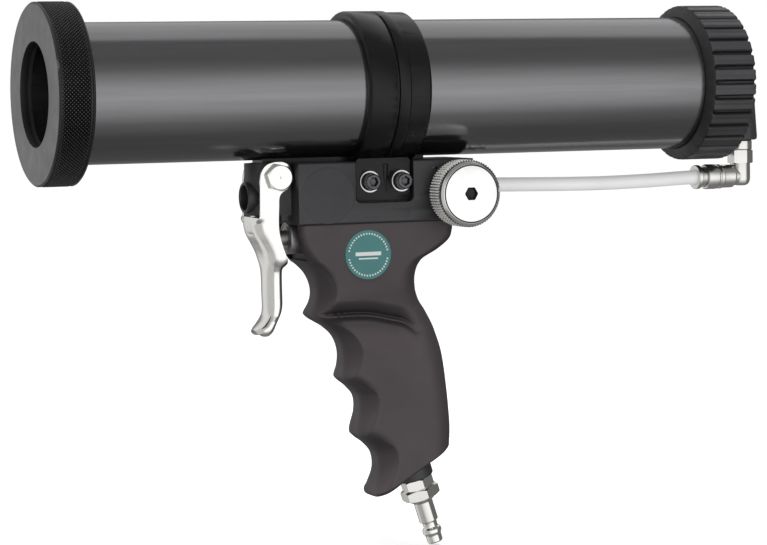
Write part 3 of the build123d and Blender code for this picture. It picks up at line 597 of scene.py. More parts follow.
def make_front_ring():
    length, _, outer = box_mm("front_ring")[1]
    tube_r = TUBE_RADIUS + TUBE_GAP
    root = outer - KNURL_DEPTH
    row_step = (length - 2 * KNURL_START) / KNURL_ROWS
    half_turn = math.pi / KNURL_COLUMNS
    verts, faces = [], []

    def point(x, radius, angle):
        verts.append((x, radius * math.cos(angle), radius * math.sin(angle)))
        return len(verts) - 1

    valley = knurled_band(point, faces, root, row_step, half_turn)
    # plain edges, faces and bore; their columns sit on the valley corners of the end rows
    end = KNURL_START + KNURL_ROWS * row_step
    outline = rounded([
        (KNURL_START, root), (KNURL_START - 0.3, outer - 0.1), (0.7, outer - 0.05), (0, outer - 0.8),
        (0, RING_BORE), (RING_WALL, RING_BORE), (RING_WALL, tube_r), (length, tube_r), (length, outer - 0.8),
        (length - 0.7, outer - 0.05), (end + 0.3, outer - 0.1), (end, root),
    ], 0.25, 2, closed=False)
    rings = []
    for k, (x, radius) in enumerate(outline):
        if k in (0, len(outline) - 1):
            row = 0 if k == 0 else KNURL_ROWS
            rings.append([valley[column, row] for column in range(1, 2 * KNURL_COLUMNS, 2)])
            continue
        rings.append([point(x, radius, column * half_turn) for column in range(1, 2 * KNURL_COLUMNS, 2)])
    for first, second in zip(rings, rings[1:]):
        faces += bridge(first, second)
    ring = add_piece("ring", verts, faces, "front_ring", "ring_anodised", ["front_ring"], sharp=25)
    paint(ring, "ring_face", lambda centre, normal: normal.x < -0.9 and centre.x < 0.3)
    # Painted shade inside the ring's bore.
    paint(ring, "painted_gap_shade",
          lambda centre, normal: math.hypot(centre.y, centre.z) < tube_r - 0.2 and centre.x > 0.5)
    step_end = length + STEP_END
    lathe("ring_step", [(length - 3, tube_r - 0.04), (length - 3, STEP_RADIUS), (step_end - 0.5, STEP_RADIUS),
                        (step_end, STEP_RADIUS - 0.4), (step_end, tube_r - 0.04)],
          (0, 0, 0), ALONG, "gun", "barrel_anodised", segments=128, soft=0.15)


# ---------------------------------------------------------------- rear cap
CAP_RIBS = 32
CAP_GROOVE = 1.35
CAP_RIB_HEIGHT = 1.4
CAP_RIB_CROWN = 0.22
CAP_CONE = 3.0
CAP_BORE = 21.9
CAP_WALL = 3.0
# The thread in the cap's mouth: where it begins and its radius
CAP_THREAD_START = 290.3
CAP_THREAD_RADIUS = 29.8


def make_rear_cap():
    low, high = box_mm("rear_ring_nut")
    outer = high.z
    start, end = low.x, high.x
    tube_r = TUBE_RADIUS + TUBE_GAP
    cone_end = start + CAP_CONE
    groove_half = CAP_GROOVE / 2 / outer

    def ribs(angle, along, radius):
        if radius < outer - 2.5 or along < cone_end - 1.2:
            return along, radius
        period = 2 * math.pi / CAP_RIBS
        off = abs((angle + period / 2) % period - period / 2)
        dip = 1 - smooth(groove_half * 0.75, groove_half * 1.9, off)
        crown = 0.0
        if off > groove_half:
            crown = CAP_RIB_CROWN * (1 - abs(off / (period / 2) * 2 - 1)) ** 0.5
        fade = smooth(cone_end - 1.2, cone_end + 0.5, along)
        return along, radius - (CAP_RIB_HEIGHT * dip + CAP_RIB_CROWN - crown) * fade

    outline = rounded([
        (start, tube_r), (start, tube_r + 0.55), (start + 2.2, outer - 0.3), (cone_end, outer),
        (end - 1.2, outer), (end, outer - 1.2), (end, CAP_BORE), (end - CAP_WALL, CAP_BORE),
        (end - CAP_WALL, CAP_THREAD_RADIUS), (CAP_THREAD_START, CAP_THREAD_RADIUS),
        (CAP_THREAD_START, tube_r),
    ], 0.35, 2)
    # more rows along the ribs
    dense = []
    for k, (x, radius) in enumerate(outline):
        dense.append((x, radius))
        after = outline[(k + 1) % len(outline)]
        gap = after[0] - x
        if radius > 32 and after[1] > 32 and gap > 2:
            for step in range(1, 6):
                dense.append((x + gap * step / 6, radius + (after[1] - radius) * step / 6))
    verts, faces = spin(dense, (0, 0, 0), ALONG, CAP_RIBS * 14, True, ribs)
    cap = add_piece("rear_cap", verts, faces, "rear_ring", "cap_plastic", ["rear_ring_nut"], sharp=38)

    # Painted shade on the deep faces of the grooves and on the front cone.
    def shaded(centre, normal):
        deep = math.hypot(centre.y, centre.z) < outer - 0.7 and centre.x < end - 0.5
        return deep or centre.x < cone_end - 0.4

    paint(cap, "cap_shade", shaded)


# ---------------------------------------------------------------- knob
KNOB_TEETH = 72
KNOB_TOOTH = 0.6
KNOB_GROOVES = (2.6, 4.9)
KNOB_SOCKET = 2.8
COLLAR_BACK = -16.0


def make_knob():
    low, high = box_mm("regulator_knob")
    centre = (low + high) / 2
    radius = (high.x - low.x) / 2
    thick = high.y - low.y
    back = (centre.x, high.y, centre.z)
    face_r = radius - 1.5
    root = radius - KNOB_TOOTH

    outline = rounded([
        (0, 2.6), (0, radius - 1.1), (0.6, root), (thick - 2.0, root), (thick - 1.9, radius - 0.45),
        (thick - 1.0, radius - 0.65), (thick - 0.1, face_r - 0.1), (thick, face_r - 0.3),
        (thick - 0.3, face_r - 0.35), (thick - 0.3, face_r - 0.8), (thick, face_r - 0.85),
        (thick, 2.75), (thick - 0.35, 2.45), (thick - 2.0, 2.4), (thick - 2.4, 0),
    ], 0.12, 2, closed=False)

    def shape(angle, along, r):
        """The socket in the face is a hexagon."""
        if r < KNOB_SOCKET and along > thick / 2:
            turn = angle % (math.pi / 3) - math.pi / 6
            return along, r * 0.94 / math.cos(turn)
        return along, r

    verts, faces = spin([(0, 0)] + outline, back, NEARER, 360, False, shape, ALONG)
    knob = add_piece("knob", verts, faces, "regulator_knob", "knob_nickel", ["regulator_knob"], sharp=30)

    def from_axis(place):
        return math.hypot(place.x - centre.x, place.z - centre.z)

    # Painted shade: the groove in the knob's face and its hex socket take the near black colour.
    def shaded_recesses(place, normal):
        out = from_axis(place)
        groove = face_r - 0.84 < out < face_r - 0.31 and place.y < low.y + 0.35
        socket = out < KNOB_SOCKET and low.y + 0.1 < place.y < high.y - 0.5
        return groove or socket

    paint(knob, "painted_gap_shade", shaded_recesses)

    def teeth(angle, along, r):
        """Four columns to a tooth: two on its crest and two in the gap."""
        gap = (angle * KNOB_TEETH / (2 * math.pi) + 0.05) % 1 > 0.5
        return along, r - (KNOB_TOOTH if gap and r > root + 0.1 else 0)

    outline = [(0.7, root - 0.3), (0.7, radius)]
    for along in KNOB_GROOVES:
        outline += [(along, radius), (along + 0.2, root + 0.05), (along + 0.4, radius)]
    outline += [(thick - 2.1, radius), (thick - 2.1, root - 0.3)]
    verts, faces = spin(outline, back, NEARER, 4 * KNOB_TEETH, True, teeth, ALONG)
    # The teeth carry the painted light of the near white copy of the knob's nickel.
    knurl = add_piece("knob_knurl", verts, faces, "regulator_knob", "knob_nickel", sharp=20,
                      material="knurl_painted_light")
    # Painted shade in the gaps between the knurl's teeth.
    paint(knurl, "painted_gap_shade", lambda place, normal: from_axis(place) < radius - KNOB_TOOTH * 0.7)
    lathe("knob_collar", [(0, 2.6), (0, 11.0), (3.2, 11.0), (3.6, 10.6), (3.6, 2.6)],
          (centre.x, COLLAR_BACK, centre.z), NEARER, "gun", "frame_anodised", ["regulator_bonnet"],
          segments=128, soft=0.3)


# ---------------------------------------------------------------- hexagons, bolts and small turned parts
BOLT_HEAD = 4.15
BOLT_HEX = 5.0
BOLT_RADIUS = 2.98
SCREW_HEAD = 4.0
SCREW_HEAD_RADIUS = 3.3
SCREW_NOTCHES = 28
WASHER_THICK = 0.8


def hex_piece(name, flat, top, face_r, origin, axis, side, body, slot, nodes=(), both=True, dimple=0.0):
    rows = [(0, 0), (0, face_r - 0.3), (0, 1), (0, 2), (top, face_r), (top, face_r - 0.3)]
    if not both:
        rows[1] = (0, flat * 0.9)
    shape = hexagon(flat, top, face_r, both=both)
    if dimple:
        rows += [(top, dimple), (top - 0.25, 0)]
    else:
        rows += [(top, 0)]
    verts, faces = spin(rows, origin, axis, 144, False, shape, side)
    return add_piece(name, verts, faces, body, slot, nodes, sharp=24)


def make_trigger_bolt():
    low, high = box_mm("trigger_bolt")
    x = (low.x + high.x) / 2
    z = (low.z + high.z) / 2
    head = hex_piece("bolt_head", BOLT_HEX, BOLT_HEAD, 4.7, (x, low.y + BOLT_HEAD, z), NEARER,
                     (0.24, 0, 1), "gun", "bolt_nickel", ["trigger_bolt"], both=False, dimple=0.45)
    paint(head, "valve_metal", lambda centre, normal: abs(normal.y) < 0.2)
    shank_end = high.y - low.y - 4.0
    outline = [(0, 0), (0, BOLT_RADIUS), (shank_end - 5.0, BOLT_RADIUS)]
    for k in range(10):
        outline += [(shank_end - 4.8 + k * 0.5, 2.95), (shank_end - 4.55 + k * 0.5, 2.6)]
    outline += [(shank_end, 2.3), (shank_end, 0)]
    lathe("bolt_shank", outline, (x, low.y + 4.0, z), (0, 1, 0), "gun", "bolt_nickel", segments=48,
          closed=False, soft=0.1)
    low, high = box_mm("trigger_nut")
    hex_piece("bolt_nut", BOLT_HEX, high.y - low.y, 4.75, (x, low.y, z), (0, 1, 0), (0.4, 0, 1), "gun",
              "bolt_nickel", ["trigger_nut"])


def socket_screw(name, origin, axis, turn):
    outline = [
        (0, 0), (0, SCREW_HEAD_RADIUS), (SCREW_HEAD - 0.45, SCREW_HEAD_RADIUS),
        (SCREW_HEAD, SCREW_HEAD_RADIUS - 0.5), (SCREW_HEAD, 1.95), (SCREW_HEAD - 0.3, 1.75),
        (SCREW_HEAD - 2.2, 1.7), (SCREW_HEAD - 2.5, 0),
    ]

    def shape(angle, along, radius):
        """A hexagon socket and a notched rim."""
        if radius < 2.0 and along > 0.5:
            wave = (angle + math.pi / 6) % (math.pi / 3) - math.pi / 6
            return along, radius * 0.93 / math.cos(wave)
        if radius > SCREW_HEAD_RADIUS - 0.35 and along < SCREW_HEAD - 0.5:
            return along, radius - 0.1 * (0.5 + 0.5 * math.cos(angle * SCREW_NOTCHES))
        return along, radius

    rows = rounded(outline, 0.2, 2, closed=False)
    verts, faces = spin(rows, origin, axis, 6 * SCREW_NOTCHES, False, shape, turn)
    return add_piece(name, verts, faces, "gun", "screw_steel", sharp=30)


def make_clamp_screws():
    low, high = box_mm("clamp_screws")
    xs = (low.x + SCREW_HEAD_RADIUS, high.x - SCREW_HEAD_RADIUS)
    z = (low.z + high.z) / 2
    seat = high.y - SCREW_HEAD
    for side, label in ((-1, "near"), (1, "far")):
        for k, x in enumerate(xs):
            socket_screw(f"clamp_screw_{label}_{k + 1}", (x, side * seat, z), (0, side, 0),
                                     (1, 0, 0.5 + k))
            washer = lathe(f"clamp_washer_{label}_{k + 1}",
                           [(0, 2.2), (0, 4.4), (WASHER_THICK, 4.4), (WASHER_THICK, 3.7),
                            (WASHER_THICK - 0.15, 3.6), (WASHER_THICK - 0.15, 2.2)],
                           (x, side * (seat - WASHER_THICK), z), (0, side, 0), "gun", "screw_steel",
                           soft=0.12)
            paint(washer, "washer_steel",
                  lambda centre, normal: math.hypot(centre.x - x, centre.z - z) > 3.75)
    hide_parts("clamp_screws")
    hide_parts("clamp_washers")


def make_nose_parts():
    low, high = box_mm("exhaust_port")
    z = (low.z + high.z) / 2
    outer = (high.z - low.z) / 2
    length = high.x - low.x
    lathe("exhaust", [(0, 5.4), (0, outer - 0.5), (0.7, outer), (length, outer), (length, 5.0), (0.5, 5.0)],
          (low.x, 0, z), ALONG, "gun", "frame_anodised", ["exhaust_port"], soft=0.3,
          material="nose_anodised")
    low, high = box_mm("nose_set_screw")
    x = (low.x + high.x) / 2
    height = high.z - low.z
    outline = [(1.8, 0), (1.8, 1.2), (0, 1.25), (0, 1.9)]
    for k in range(8):
        outline += [(0.25 + k * 0.8, 2.4), (0.65 + k * 0.8, 2.05)]
    outline += [(height, 2.0), (height, 0)]
    verts, faces = spin(outline, (x, 0, low.z), UP, 72, False)
    add_piece("set_screw", verts, faces, "gun", "valve_metal", ["nose_set_screw"], sharp=40)


def make_valve_front():
    low, high = box_mm("valve_gland")
    z = (low.z + high.z) / 2
    outer = (high.z - low.z) / 2
    lathe("gland", [(0, 3.15), (0, 4.6), (0.35, 4.9), (0.35, 5.5), (0, 5.7), (0, outer - 0.4), (0.5, outer),
                    (4.0, outer), (4.0, 4.7), (high.x - low.x, 4.7), (high.x - low.x, 3.15)],
          (low.x, 0, z), ALONG, "gun", "valve_metal", ["valve_gland"], soft=0.2)


# ---------------------------------------------------------------- fittings and inlet
INLET_PLACE = (160.5, 0, -165.6)
INLET_LEAN = 17.4
ELBOW_HEIGHT = -40.7
ELBOW_HEX_TALL = 5.7


def make_inlet():
    lean = math.radians(INLET_LEAN)
    along = (math.sin(lean), 0, -math.cos(lean))
    origin = Vector(INLET_PLACE)
    cross = (math.cos(lean), 0, math.sin(lean))
    lathe("inlet_socket", [(-16, 5.0), (-16, 7.7), (-4.6, 7.75), (-4.0, 7.2), (-4.0, 5.0)], origin, along,
          "gun", "cap_plastic", ["inlet_bushing"], soft=0.4)
    axis = Vector(along)
    hex_piece("inlet_adapter_hex", 6.0, 4.3, 5.9, origin - axis * 4.0, along, cross, "gun", "bolt_nickel",
              ["inlet_adapter"])
    hex_piece("inlet_plug_hex", 7.15, 4.4, 7.0, origin + axis * 0.3, along, cross, "gun", "plug_nickel")
    lathe("inlet_plug_stem", [
        (4.0, 0), (4.0, 6.3), (5.0, 6.0), (5.7, 5.3), (6.6, 4.0), (15.2, 4.0), (15.7, 3.1), (18.0, 3.0),
        (18.7, 3.8), (19.2, 4.0), (20.4, 4.0), (20.8, 3.7), (21.6, 3.3), (24.4, 3.3), (24.9, 2.9),
        (24.9, 2.1), (24.6, 2.0), (8.0, 1.9), (8.0, 0),
    ], origin, along, "gun", "plug_nickel", ["inlet_plug"], closed=False, soft=0.25)


def make_fittings():
    low, high = box_mm("front_fitting")
    z = (low.z + high.z) / 2
    x = low.x
    lathe("front_fitting_body", [
        (0, 2.4), (0, 5.4), (6.0, 5.4), (6.4, 5.0), (7.0, 5.0), (7.4, 5.4), (9.6, 5.4), (10.2, 4.8),
        (10.2, 4.3), (5.0, 4.3), (5.0, 3.05), (1.5, 3.05), (1.5, 2.4),
    ], (x, 0, z), ALONG, "gun", "fitting_nickel", ["front_fitting"], soft=0.3)
    lathe("front_collar", [(7.5, 3.1), (7.5, 4.2), (12.4, 4.2), (12.4, 5.0), (14.2, 5.0), (14.2, 3.1)],
          (x, 0, z), ALONG, "front_release_collar", "fitting_nickel", ["front_release_collar"],
          soft=0.4)
    low, high = box_mm("elbow_stud")
    boss_x = (low.x + high.x) / 2
    lathe("stud", [(0, 1.8), (0, 4.7), (0.4, 5.1), (4.0, 5.1), (4.4, 4.7), (4.4, 4.0), (12.4, 4.0),
                   (12.4, 1.8)], (boss_x, 0, low.z), UP, "gun", "fitting_nickel", ["elbow_stud"],
          soft=0.3)
    elbow_low, elbow_high = box_mm("rear_elbow")
    hex_piece("elbow_hex", 4.75, ELBOW_HEX_TALL, 5.0, (boss_x, 0, elbow_high.z - ELBOW_HEX_TALL), UP,
              (0.5, 1, 0), "gun", "fitting_nickel")
    leg_top = elbow_high.z - ELBOW_HEIGHT - 5.2
    lathe("elbow_leg", [
        (elbow_low.z - ELBOW_HEIGHT + 1.2, 0), (-4.2, 2.4), (-3.3, 3.7), (-1.8, 4.25), (0, 4.3),
        (leg_top, 4.3), (leg_top, 0),
    ], (boss_x, 0, ELBOW_HEIGHT), UP, "gun", "fitting_nickel", closed=False, soft=0.5)
    start = elbow_low.x
    lathe("elbow_socket", [
        (0, 4.3), (0, 4.9), (0.5, 5.4), (5.4, 5.4), (5.8, 4.85), (6.3, 4.85), (6.7, 5.3), (7.9, 5.3),
        (8.1, 5.0), (13.4, 5.0), (13.9, 4.4), (14.1, 4.0), (18.1, 3.9), (18.1, 0), (8.2, 0), (8.2, 3.05),
        (5.2, 3.05), (5.2, 4.3),
    ], (start, 0, ELBOW_HEIGHT), ALONG, "gun", "fitting_nickel", ["rear_elbow"], soft=0.3)
    lathe("rear_collar", [(2.7, 3.1), (2.7, 4.2), (-2.6, 4.2), (-2.6, 5.1), (-3.0, 5.2), (-4.6, 5.2),
                          (-4.6, 3.1)], (start, 0, ELBOW_HEIGHT), ALONG, "rear_release_collar",
          "fitting_nickel", ["rear_release_collar"], soft=0.35)


def make_spring():
    """A copy of the CAD spring with a mesh of its own."""
    spring = softened("spring", "valve_spring", "gun", "spring_steel", 0.0)
    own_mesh(spring)


# ---------------------------------------------------------------- trigger
# Outline of the pressed lever in side view: (z, x) down its front and its back, and its half width
LEVER_FRONT = [
    (-28.6, 95.6), (-29.4, 92.6), (-31.4, 90.4), (-34.8, 89.4), (-39.6, 89.1), (-48, 89.0), (-53, 89.2),
    (-57.4, 90.1), (-61.5, 92.2), (-65.3, 94.0), (-69, 94.9), (-75, 95.2), (-83, 95.2), (-88, 95.3),
    (-91, 95.1), (-93.2, 94.0), (-95.4, 92.2), (-97.7, 89.8),
]
LEVER_BACK = [
    (-28.6, 98.6), (-29.4, 100.7), (-31.4, 102.4), (-34.8, 103.1), (-38.0, 102.2), (-39.6, 100.8),
    (-41.0, 98.6), (-42.6, 97.4), (-47, 97.1), (-53, 96.9), (-57, 97.2), (-62, 98.4), (-67.2, 100.0),
    (-68.6, 100.1), (-70.6, 98.8), (-72, 98.5), (-84, 98.8), (-87, 98.7), (-89.5, 98.0), (-92.4, 96.4),
    (-95.4, 95.0), (-97.7, 93.5),
]
LEVER_HALF = [
    (-28.6, 9.1), (-66.8, 9.1), (-68.4, 8.8), (-70.6, 7.2), (-73, 6.1), (-80, 5.6), (-90, 5.4),
    (-95.8, 5.4), (-97.0, 4.9), (-97.7, 3.6),
]
LEVER_CORNER = [(-28.6, 3.0), (-52, 3.8), (-60, 4.4), (-66, 5.2), (-72, 6.2), (-101, 6.2)]
LEVER_CURL = [(-28.6, 0.0), (-66, 0.0), (-73, 2.4), (-92, 2.4), (-97.7, 0.6)]
LEVER_SHEET = 1.7
WEB_TOP = -50.4
PRESS_LINE = -57.2


def make_trigger():
    cheek_steps, corner_steps, web_steps = 10, 9, 8
    columns = 2 * cheek_steps + 2 * corner_steps + web_steps + 1
    rows = 170
    top, tip = LEVER_FRONT[0][0], LEVER_FRONT[-1][0]
    verts = []
    heights = []
    for row in range(rows + 1):
        t = row / rows
        # rows close up at the round head and at the tip
        z = top + (tip - top) * (t - 0.06 * math.sin(2 * math.pi * t) / math.pi)
        heights.append(z)
        front, back = lerp_table(LEVER_FRONT, z), lerp_table(LEVER_BACK, z)
        half = lerp_table(LEVER_HALF, z)
        corner = min(lerp_table(LEVER_CORNER, z), half)
        deep = min(corner, 0.6 * (back - front))
        curl = lerp_table(LEVER_CURL, z)
        folded = 1 - smooth(WEB_TOP - 3.6, WEB_TOP - 0.1, z)
        near = []
        for k in range(cheek_steps + 1):
            tucked = curl * (1 - k / cheek_steps) ** 2
            near.append((back + (front + deep - back) * k / cheek_steps, tucked - half))
        for k in range(1, corner_steps + 1):
            angle = math.pi / 2 * k / corner_steps
            flat = Vector((front + deep * (1 - k / corner_steps), -half))
            round_x = front + deep * (1 - math.sin(angle))
            bent = Vector((round_x, -half + corner * (1 - math.cos(angle))))
            near.append(tuple(flat.lerp(bent, folded)))
        pressed = 0.28 * (1 - smooth(0.15, 0.7, abs(z - PRESS_LINE)))
        web = []
        for k in range(1, web_steps // 2 + 1):
            t = 2 * k / web_steps
            web.append((front + pressed * t, (half - corner) * (t - 1)))
        across = near + web
        far = [(x, -y) for x, y in reversed(across[:-1])]
        verts += [(x, y, z) for x, y in across + far]
    faces = []
    web_first = cheek_steps + corner_steps
    for row in range(rows):
        for column in range(columns - 1):
            if web_first <= column < web_first + web_steps and heights[row] > WEB_TOP:
                continue
            here = row * columns + column
            faces.append((here, here + columns, here + columns + 1, here + 1))
    lever = add_piece("lever", verts, faces, "trigger", "trigger_nickel", ["trigger"], sharp=40,
                      outward=False)
    sheet = lever.modifiers.new("sheet", "SOLIDIFY")
    sheet.thickness = LEVER_SHEET * MM
    sheet.offset = -1
    add_bevel(lever, 0.35, 2, 50)


# ---------------------------------------------------------------- grip
# Side outline: (z, x) down the front and down the back, the half width and the front corner's size
GRIP_FRONT = [
    (-54.2, 104.6), (-58, 104.8), (-62, 105.6), (-66, 107), (-69.5, 108.6), (-71.5, 110.6), (-75, 113.2),
    (-80, 114.9), (-84, 115.0), (-87.4, 114.0), (-90.6, 112.6), (-92.0, 112.9), (-93.6, 114.6),
    (-97, 120.0), (-101, 124), (-107, 126.2), (-113, 126.2), (-117.6, 125.4), (-119.4, 126.6),
    (-122, 129.6), (-126, 132.7), (-132, 133.3), (-138.5, 132.0), (-141.4, 132.0), (-143.4, 133.6),
    (-146, 137), (-150, 140.2), (-156, 141.2), (-162, 140.0), (-167.2, 138.4),
]
GRIP_BACK = [
    (-54.2, 172.6), (-58, 172.6), (-62, 171.3), (-66, 166.4), (-70, 159.8), (-76, 157.4), (-82, 157.7),
    (-87, 159.6), (-91, 162.3), (-97, 165.6), (-101, 167.2), (-107, 169.2), (-113, 170.4), (-121, 171.4),
    (-132, 172.4), (-139.8, 172.8), (-147.6, 172.4),
]
GRIP_HALF = [(-54.2, 15.5), (-72, 15.4), (-84, 14.8), (-90, 14.0), (-96, 13.2), (-110, 13.0), (-135, 13.1),
             (-168, 13.3)]
GRIP_CORNER = [(-54.2, 2.6), (-64, 3.2), (-72, 5.5), (-80, 6.5), (-168, 6.5)]
GRIP_FLAT = [(-54.2, 12.6), (-64, 11.4), (-72, 6.0), (-80, 3.6), (-168, 3.6)]
GRIP_BACK_CORNER = [(-54.2, 5.0), (-66, 7.0), (-76, 10.0), (-147, 10.0)]
# each finger dish: top, middle and bottom height, depth and reach behind the front
FINGER_DISHES = [
    (-70.0, -84.0, -91.5, 5.2, 4.2), (-93.5, -106.0, -118.2, 4.2, 4.6), (-118.8, -128.0, -141.8, 4.2, 4.4),
    (-142.2, -151.0, -167.0, 4.2, 4.6),
]
LEDGE = [(112.0, -92.2), (113.7, -91.9), (120.7, -91.5), (129.3, -91.4), (136.3, -91.9), (143.5, -93.5),
         (150.6, -95.4), (155.4, -99.0)]
GRIP_FOOT_BOW = -0.6
MOULD_DIMPLE = (142.3, -108.1)
MOULD_DIMPLE_DEPTH = 0.12
GRIP_ROWS = 360
# Columns of one side of the grip: flat of the front, front corner, flank, back corner and flat of the back
GRIP_COLUMNS = (4, 22, 72, 14, 4)
GRIP_TOP_SOFT = 0.5
GRIP_FOOT_SOFT = 1.2
# The slot for the lever and the valve's nose: back and bottom, then its length, half width and height
GRIP_SLOT = (110.0, -69.0)
GRIP_SLOT_SIZE = (30.0, 11.2, 30.0)


def ledge_height(x, z):
    """How far the side stands out because of the thumb ledge."""
    above = z - lerp_table(LEDGE, x)
    fade = 1 - smooth(147, 160, x)
    if above > 0.8:
        rise = min(1.0, (above - 0.8) / 5.2)
        return -3.0 * (1 - rise) ** 1.5 * fade
    if above > -0.7:
        return (-0.8 - 2.2 * smooth(-0.7, 0.8, above)) * fade
    drop = min(1.0, (-0.7 - above) / 2.6)
    return (-0.8 - 2.1 * drop * (2 - drop)) * (1 - smooth(-3.4, -15.0, above)) * fade


def dish_scale(ahead, z, half):
    """Finger dishes pinch the grip towards its front; the factor for the half width."""
    pinch = 0.0
    for top, middle, bottom, depth, reach in FINGER_DISHES:
        tall = top - middle if z > middle else middle - bottom
        along, up = (ahead - 0.4) / reach, (z - middle) / tall
        inside = 1 - along * along - up * up
        if inside > 0:
            pinch = max(pinch, depth * inside ** 0.75)
    return 1 - pinch / half


def grip_ring(t):
    """One closed ring, from the front's middle round the near side to the back and home on the far side."""
    top_z = GRIP_FRONT[0][0]
    front_z = top_z + (GRIP_FRONT[-1][0] - top_z) * t
    back_z = top_z + (GRIP_BACK[-1][0] - top_z) * t
    front, back = lerp_table(GRIP_FRONT, front_z), lerp_table(GRIP_BACK, back_z)
    half = lerp_table(GRIP_HALF, front_z)
    flat = min(lerp_table(GRIP_FLAT, front_z), half - 1)
    corner = lerp_table(GRIP_CORNER, front_z)
    heel = lerp_table(GRIP_BACK_CORNER, back_z)
    heel_flat = half - min(heel, half - 1.5)
    fore, turn_in, flank, turn_out, rear = GRIP_COLUMNS
    side = [(front, flat * k / fore) for k in range(fore + 1)]
    for k in range(1, turn_in + 1):
        angle = math.pi / 2 * k / turn_in
        side.append((front + corner * (1 - math.cos(angle)), flat + (half - flat) * math.sin(angle)))
    length = back - heel - front - corner
    for k in range(1, flank + 1):
        side.append((front + corner + length * (k / flank) ** 1.15, half))
    for k in range(1, turn_out + 1):
        angle = math.pi / 2 * k / turn_out
        side.append((back - heel * (1 - math.sin(angle)), heel_flat + (half - heel_flat) * math.cos(angle)))
    side += [(back, heel_flat * (1 - k / rear)) for k in range(1, rear + 1)]
    near = []
    for x, y in side:
        s = (x - front) / (back - front)
        z = front_z + (back_z - front_z) * s - GRIP_FOOT_BOW * 4 * s * (1 - s) * t ** 4
        side_on = smooth(0.55, 1.0, y / half)
        y *= dish_scale(x - front, z, half)
        y += ledge_height(x, z) * side_on
        off_x, off_z = x - MOULD_DIMPLE[0], z - MOULD_DIMPLE[1]
        y -= MOULD_DIMPLE_DEPTH * math.exp(-(off_x ** 2 + off_z ** 2) / 0.3)
        near.append((x, -max(y, 0.0), z))
    far = [(x, -y, z) for x, y, z in reversed(near[1:-1])]
    return near + far


def inset_ring(ring, amount, lift):
    """The ring drawn in towards its own middle line by amount and moved along Z."""
    made = []
    low = min(x for x, y, z in ring)
    high = max(x for x, y, z in ring)
    widest = max(y for x, y, z in ring)
    for x, y, z in ring:
        s = (x - low) / (high - low)
        made.append((x + amount * (1 - 2 * s), y * (1 - amount / widest), z + lift))
    return made


def grip_faces(rings):
    """Faces between the rings, and caps on the first and the last."""
    count = len(rings[0])
    half_count = count // 2
    faces = []
    for row in range(len(rings) - 1):
        start = row * count
        faces += bridge(list(range(start, start + count)), list(range(start + count, start + 2 * count)))
    for start in (0, (len(rings) - 1) * count):
        for k in range(1, half_count):
            after = k + 1
            here = (start + k, start + after, start + (count - after) % count, start + count - k)
            faces.append(here if after < half_count else here[:3])
        faces.append((start, start + 1, start + count - 1))
    return faces


def cut_slot(grip):
    back, bottom = GRIP_SLOT
    length, half, height = GRIP_SLOT_SIZE
    bpy.ops.mesh.primitive_cube_add(size=1)
    cutter = bpy.context.object
    cutter.dimensions = Vector((length, 2 * half, height)) * MM
    cutter.location = Vector((back - length / 2, 0, bottom + height / 2)) * MM
    bpy.context.view_layer.update()
    cut = grip.modifiers.new("slot", "BOOLEAN")
    cut.object = cutter
    cut.solver = "EXACT"
    bpy.context.view_layer.update()
    shaped = bpy.data.meshes.new_from_object(grip.evaluated_get(bpy.context.evaluated_depsgraph_get()))
    grip.modifiers.clear()
    grip.data = shaped
    grip.data.materials.clear()
    grip.data.materials.append(MATERIALS["grip_plastic"])
    bpy.data.objects.remove(cutter)


def make_grip():
    rings = []
    first, last = grip_ring(0), grip_ring(1)
    for turn in (math.radians(angle) for angle in (0, 30, 60)):
        rings.append(inset_ring(first, GRIP_TOP_SOFT * (1 - math.sin(turn)),
                                -GRIP_TOP_SOFT * (1 - math.cos(turn))))
    for row in range(1, GRIP_ROWS):
        rings.append(grip_ring(row / GRIP_ROWS))
    for turn in (math.radians(angle) for angle in (0, 22, 45, 67, 90)):
        rings.append(inset_ring(last, GRIP_FOOT_SOFT * (1 - math.cos(turn)),
                                0.5 - GRIP_FOOT_SOFT * math.sin(turn)))
    verts = [point for ring in rings for point in ring]
    grip = add_piece("grip_body", verts, grip_faces(rings), "gun", "grip_plastic", ["grip"], sharp=70)
    cut_slot(grip)


# ---------------------------------------------------------------- block details
# Places in side view are (x, z)
SIDE_FACE = 16.0
COVER_PLACE = (116.2, -42.6)
COVER_RADIUS = 11.4
PAD = [(131.2, -52.2), (152.0, -52.2), (152.0, -48.6), (131.2, -48.6)]
# Each ring of the pad: how far it is drawn in, and how far out of the side face it lies
PAD_RINGS = ((0, -0.5), (0, 0.0), (0.3, 0.12))
RIB_FOOT = [(139.6, 13.6, -30.5), (144.2, 13.6, -30.5), (143.0, 13.6, -43.5), (140.8, 13.6, -43.5)]
RIB_CREST = [(141.4, 15.0, -30.5), (142.4, 15.0, -30.5), (142.2, 14.5, -42.0), (141.6, 14.5, -42.0)]
PIN_PLACE = (163.2, -16.0, -32.4)
# Start and end along X
SADDLES = {"saddle_front": (92.0, 128.9), "saddle_back": (156.9, 162.5)}
SADDLE_ANGLE = 12
SADDLE_STEPS = 8
SADDLE_FOOT = -29.6
SADDLE_GAP = 0.02


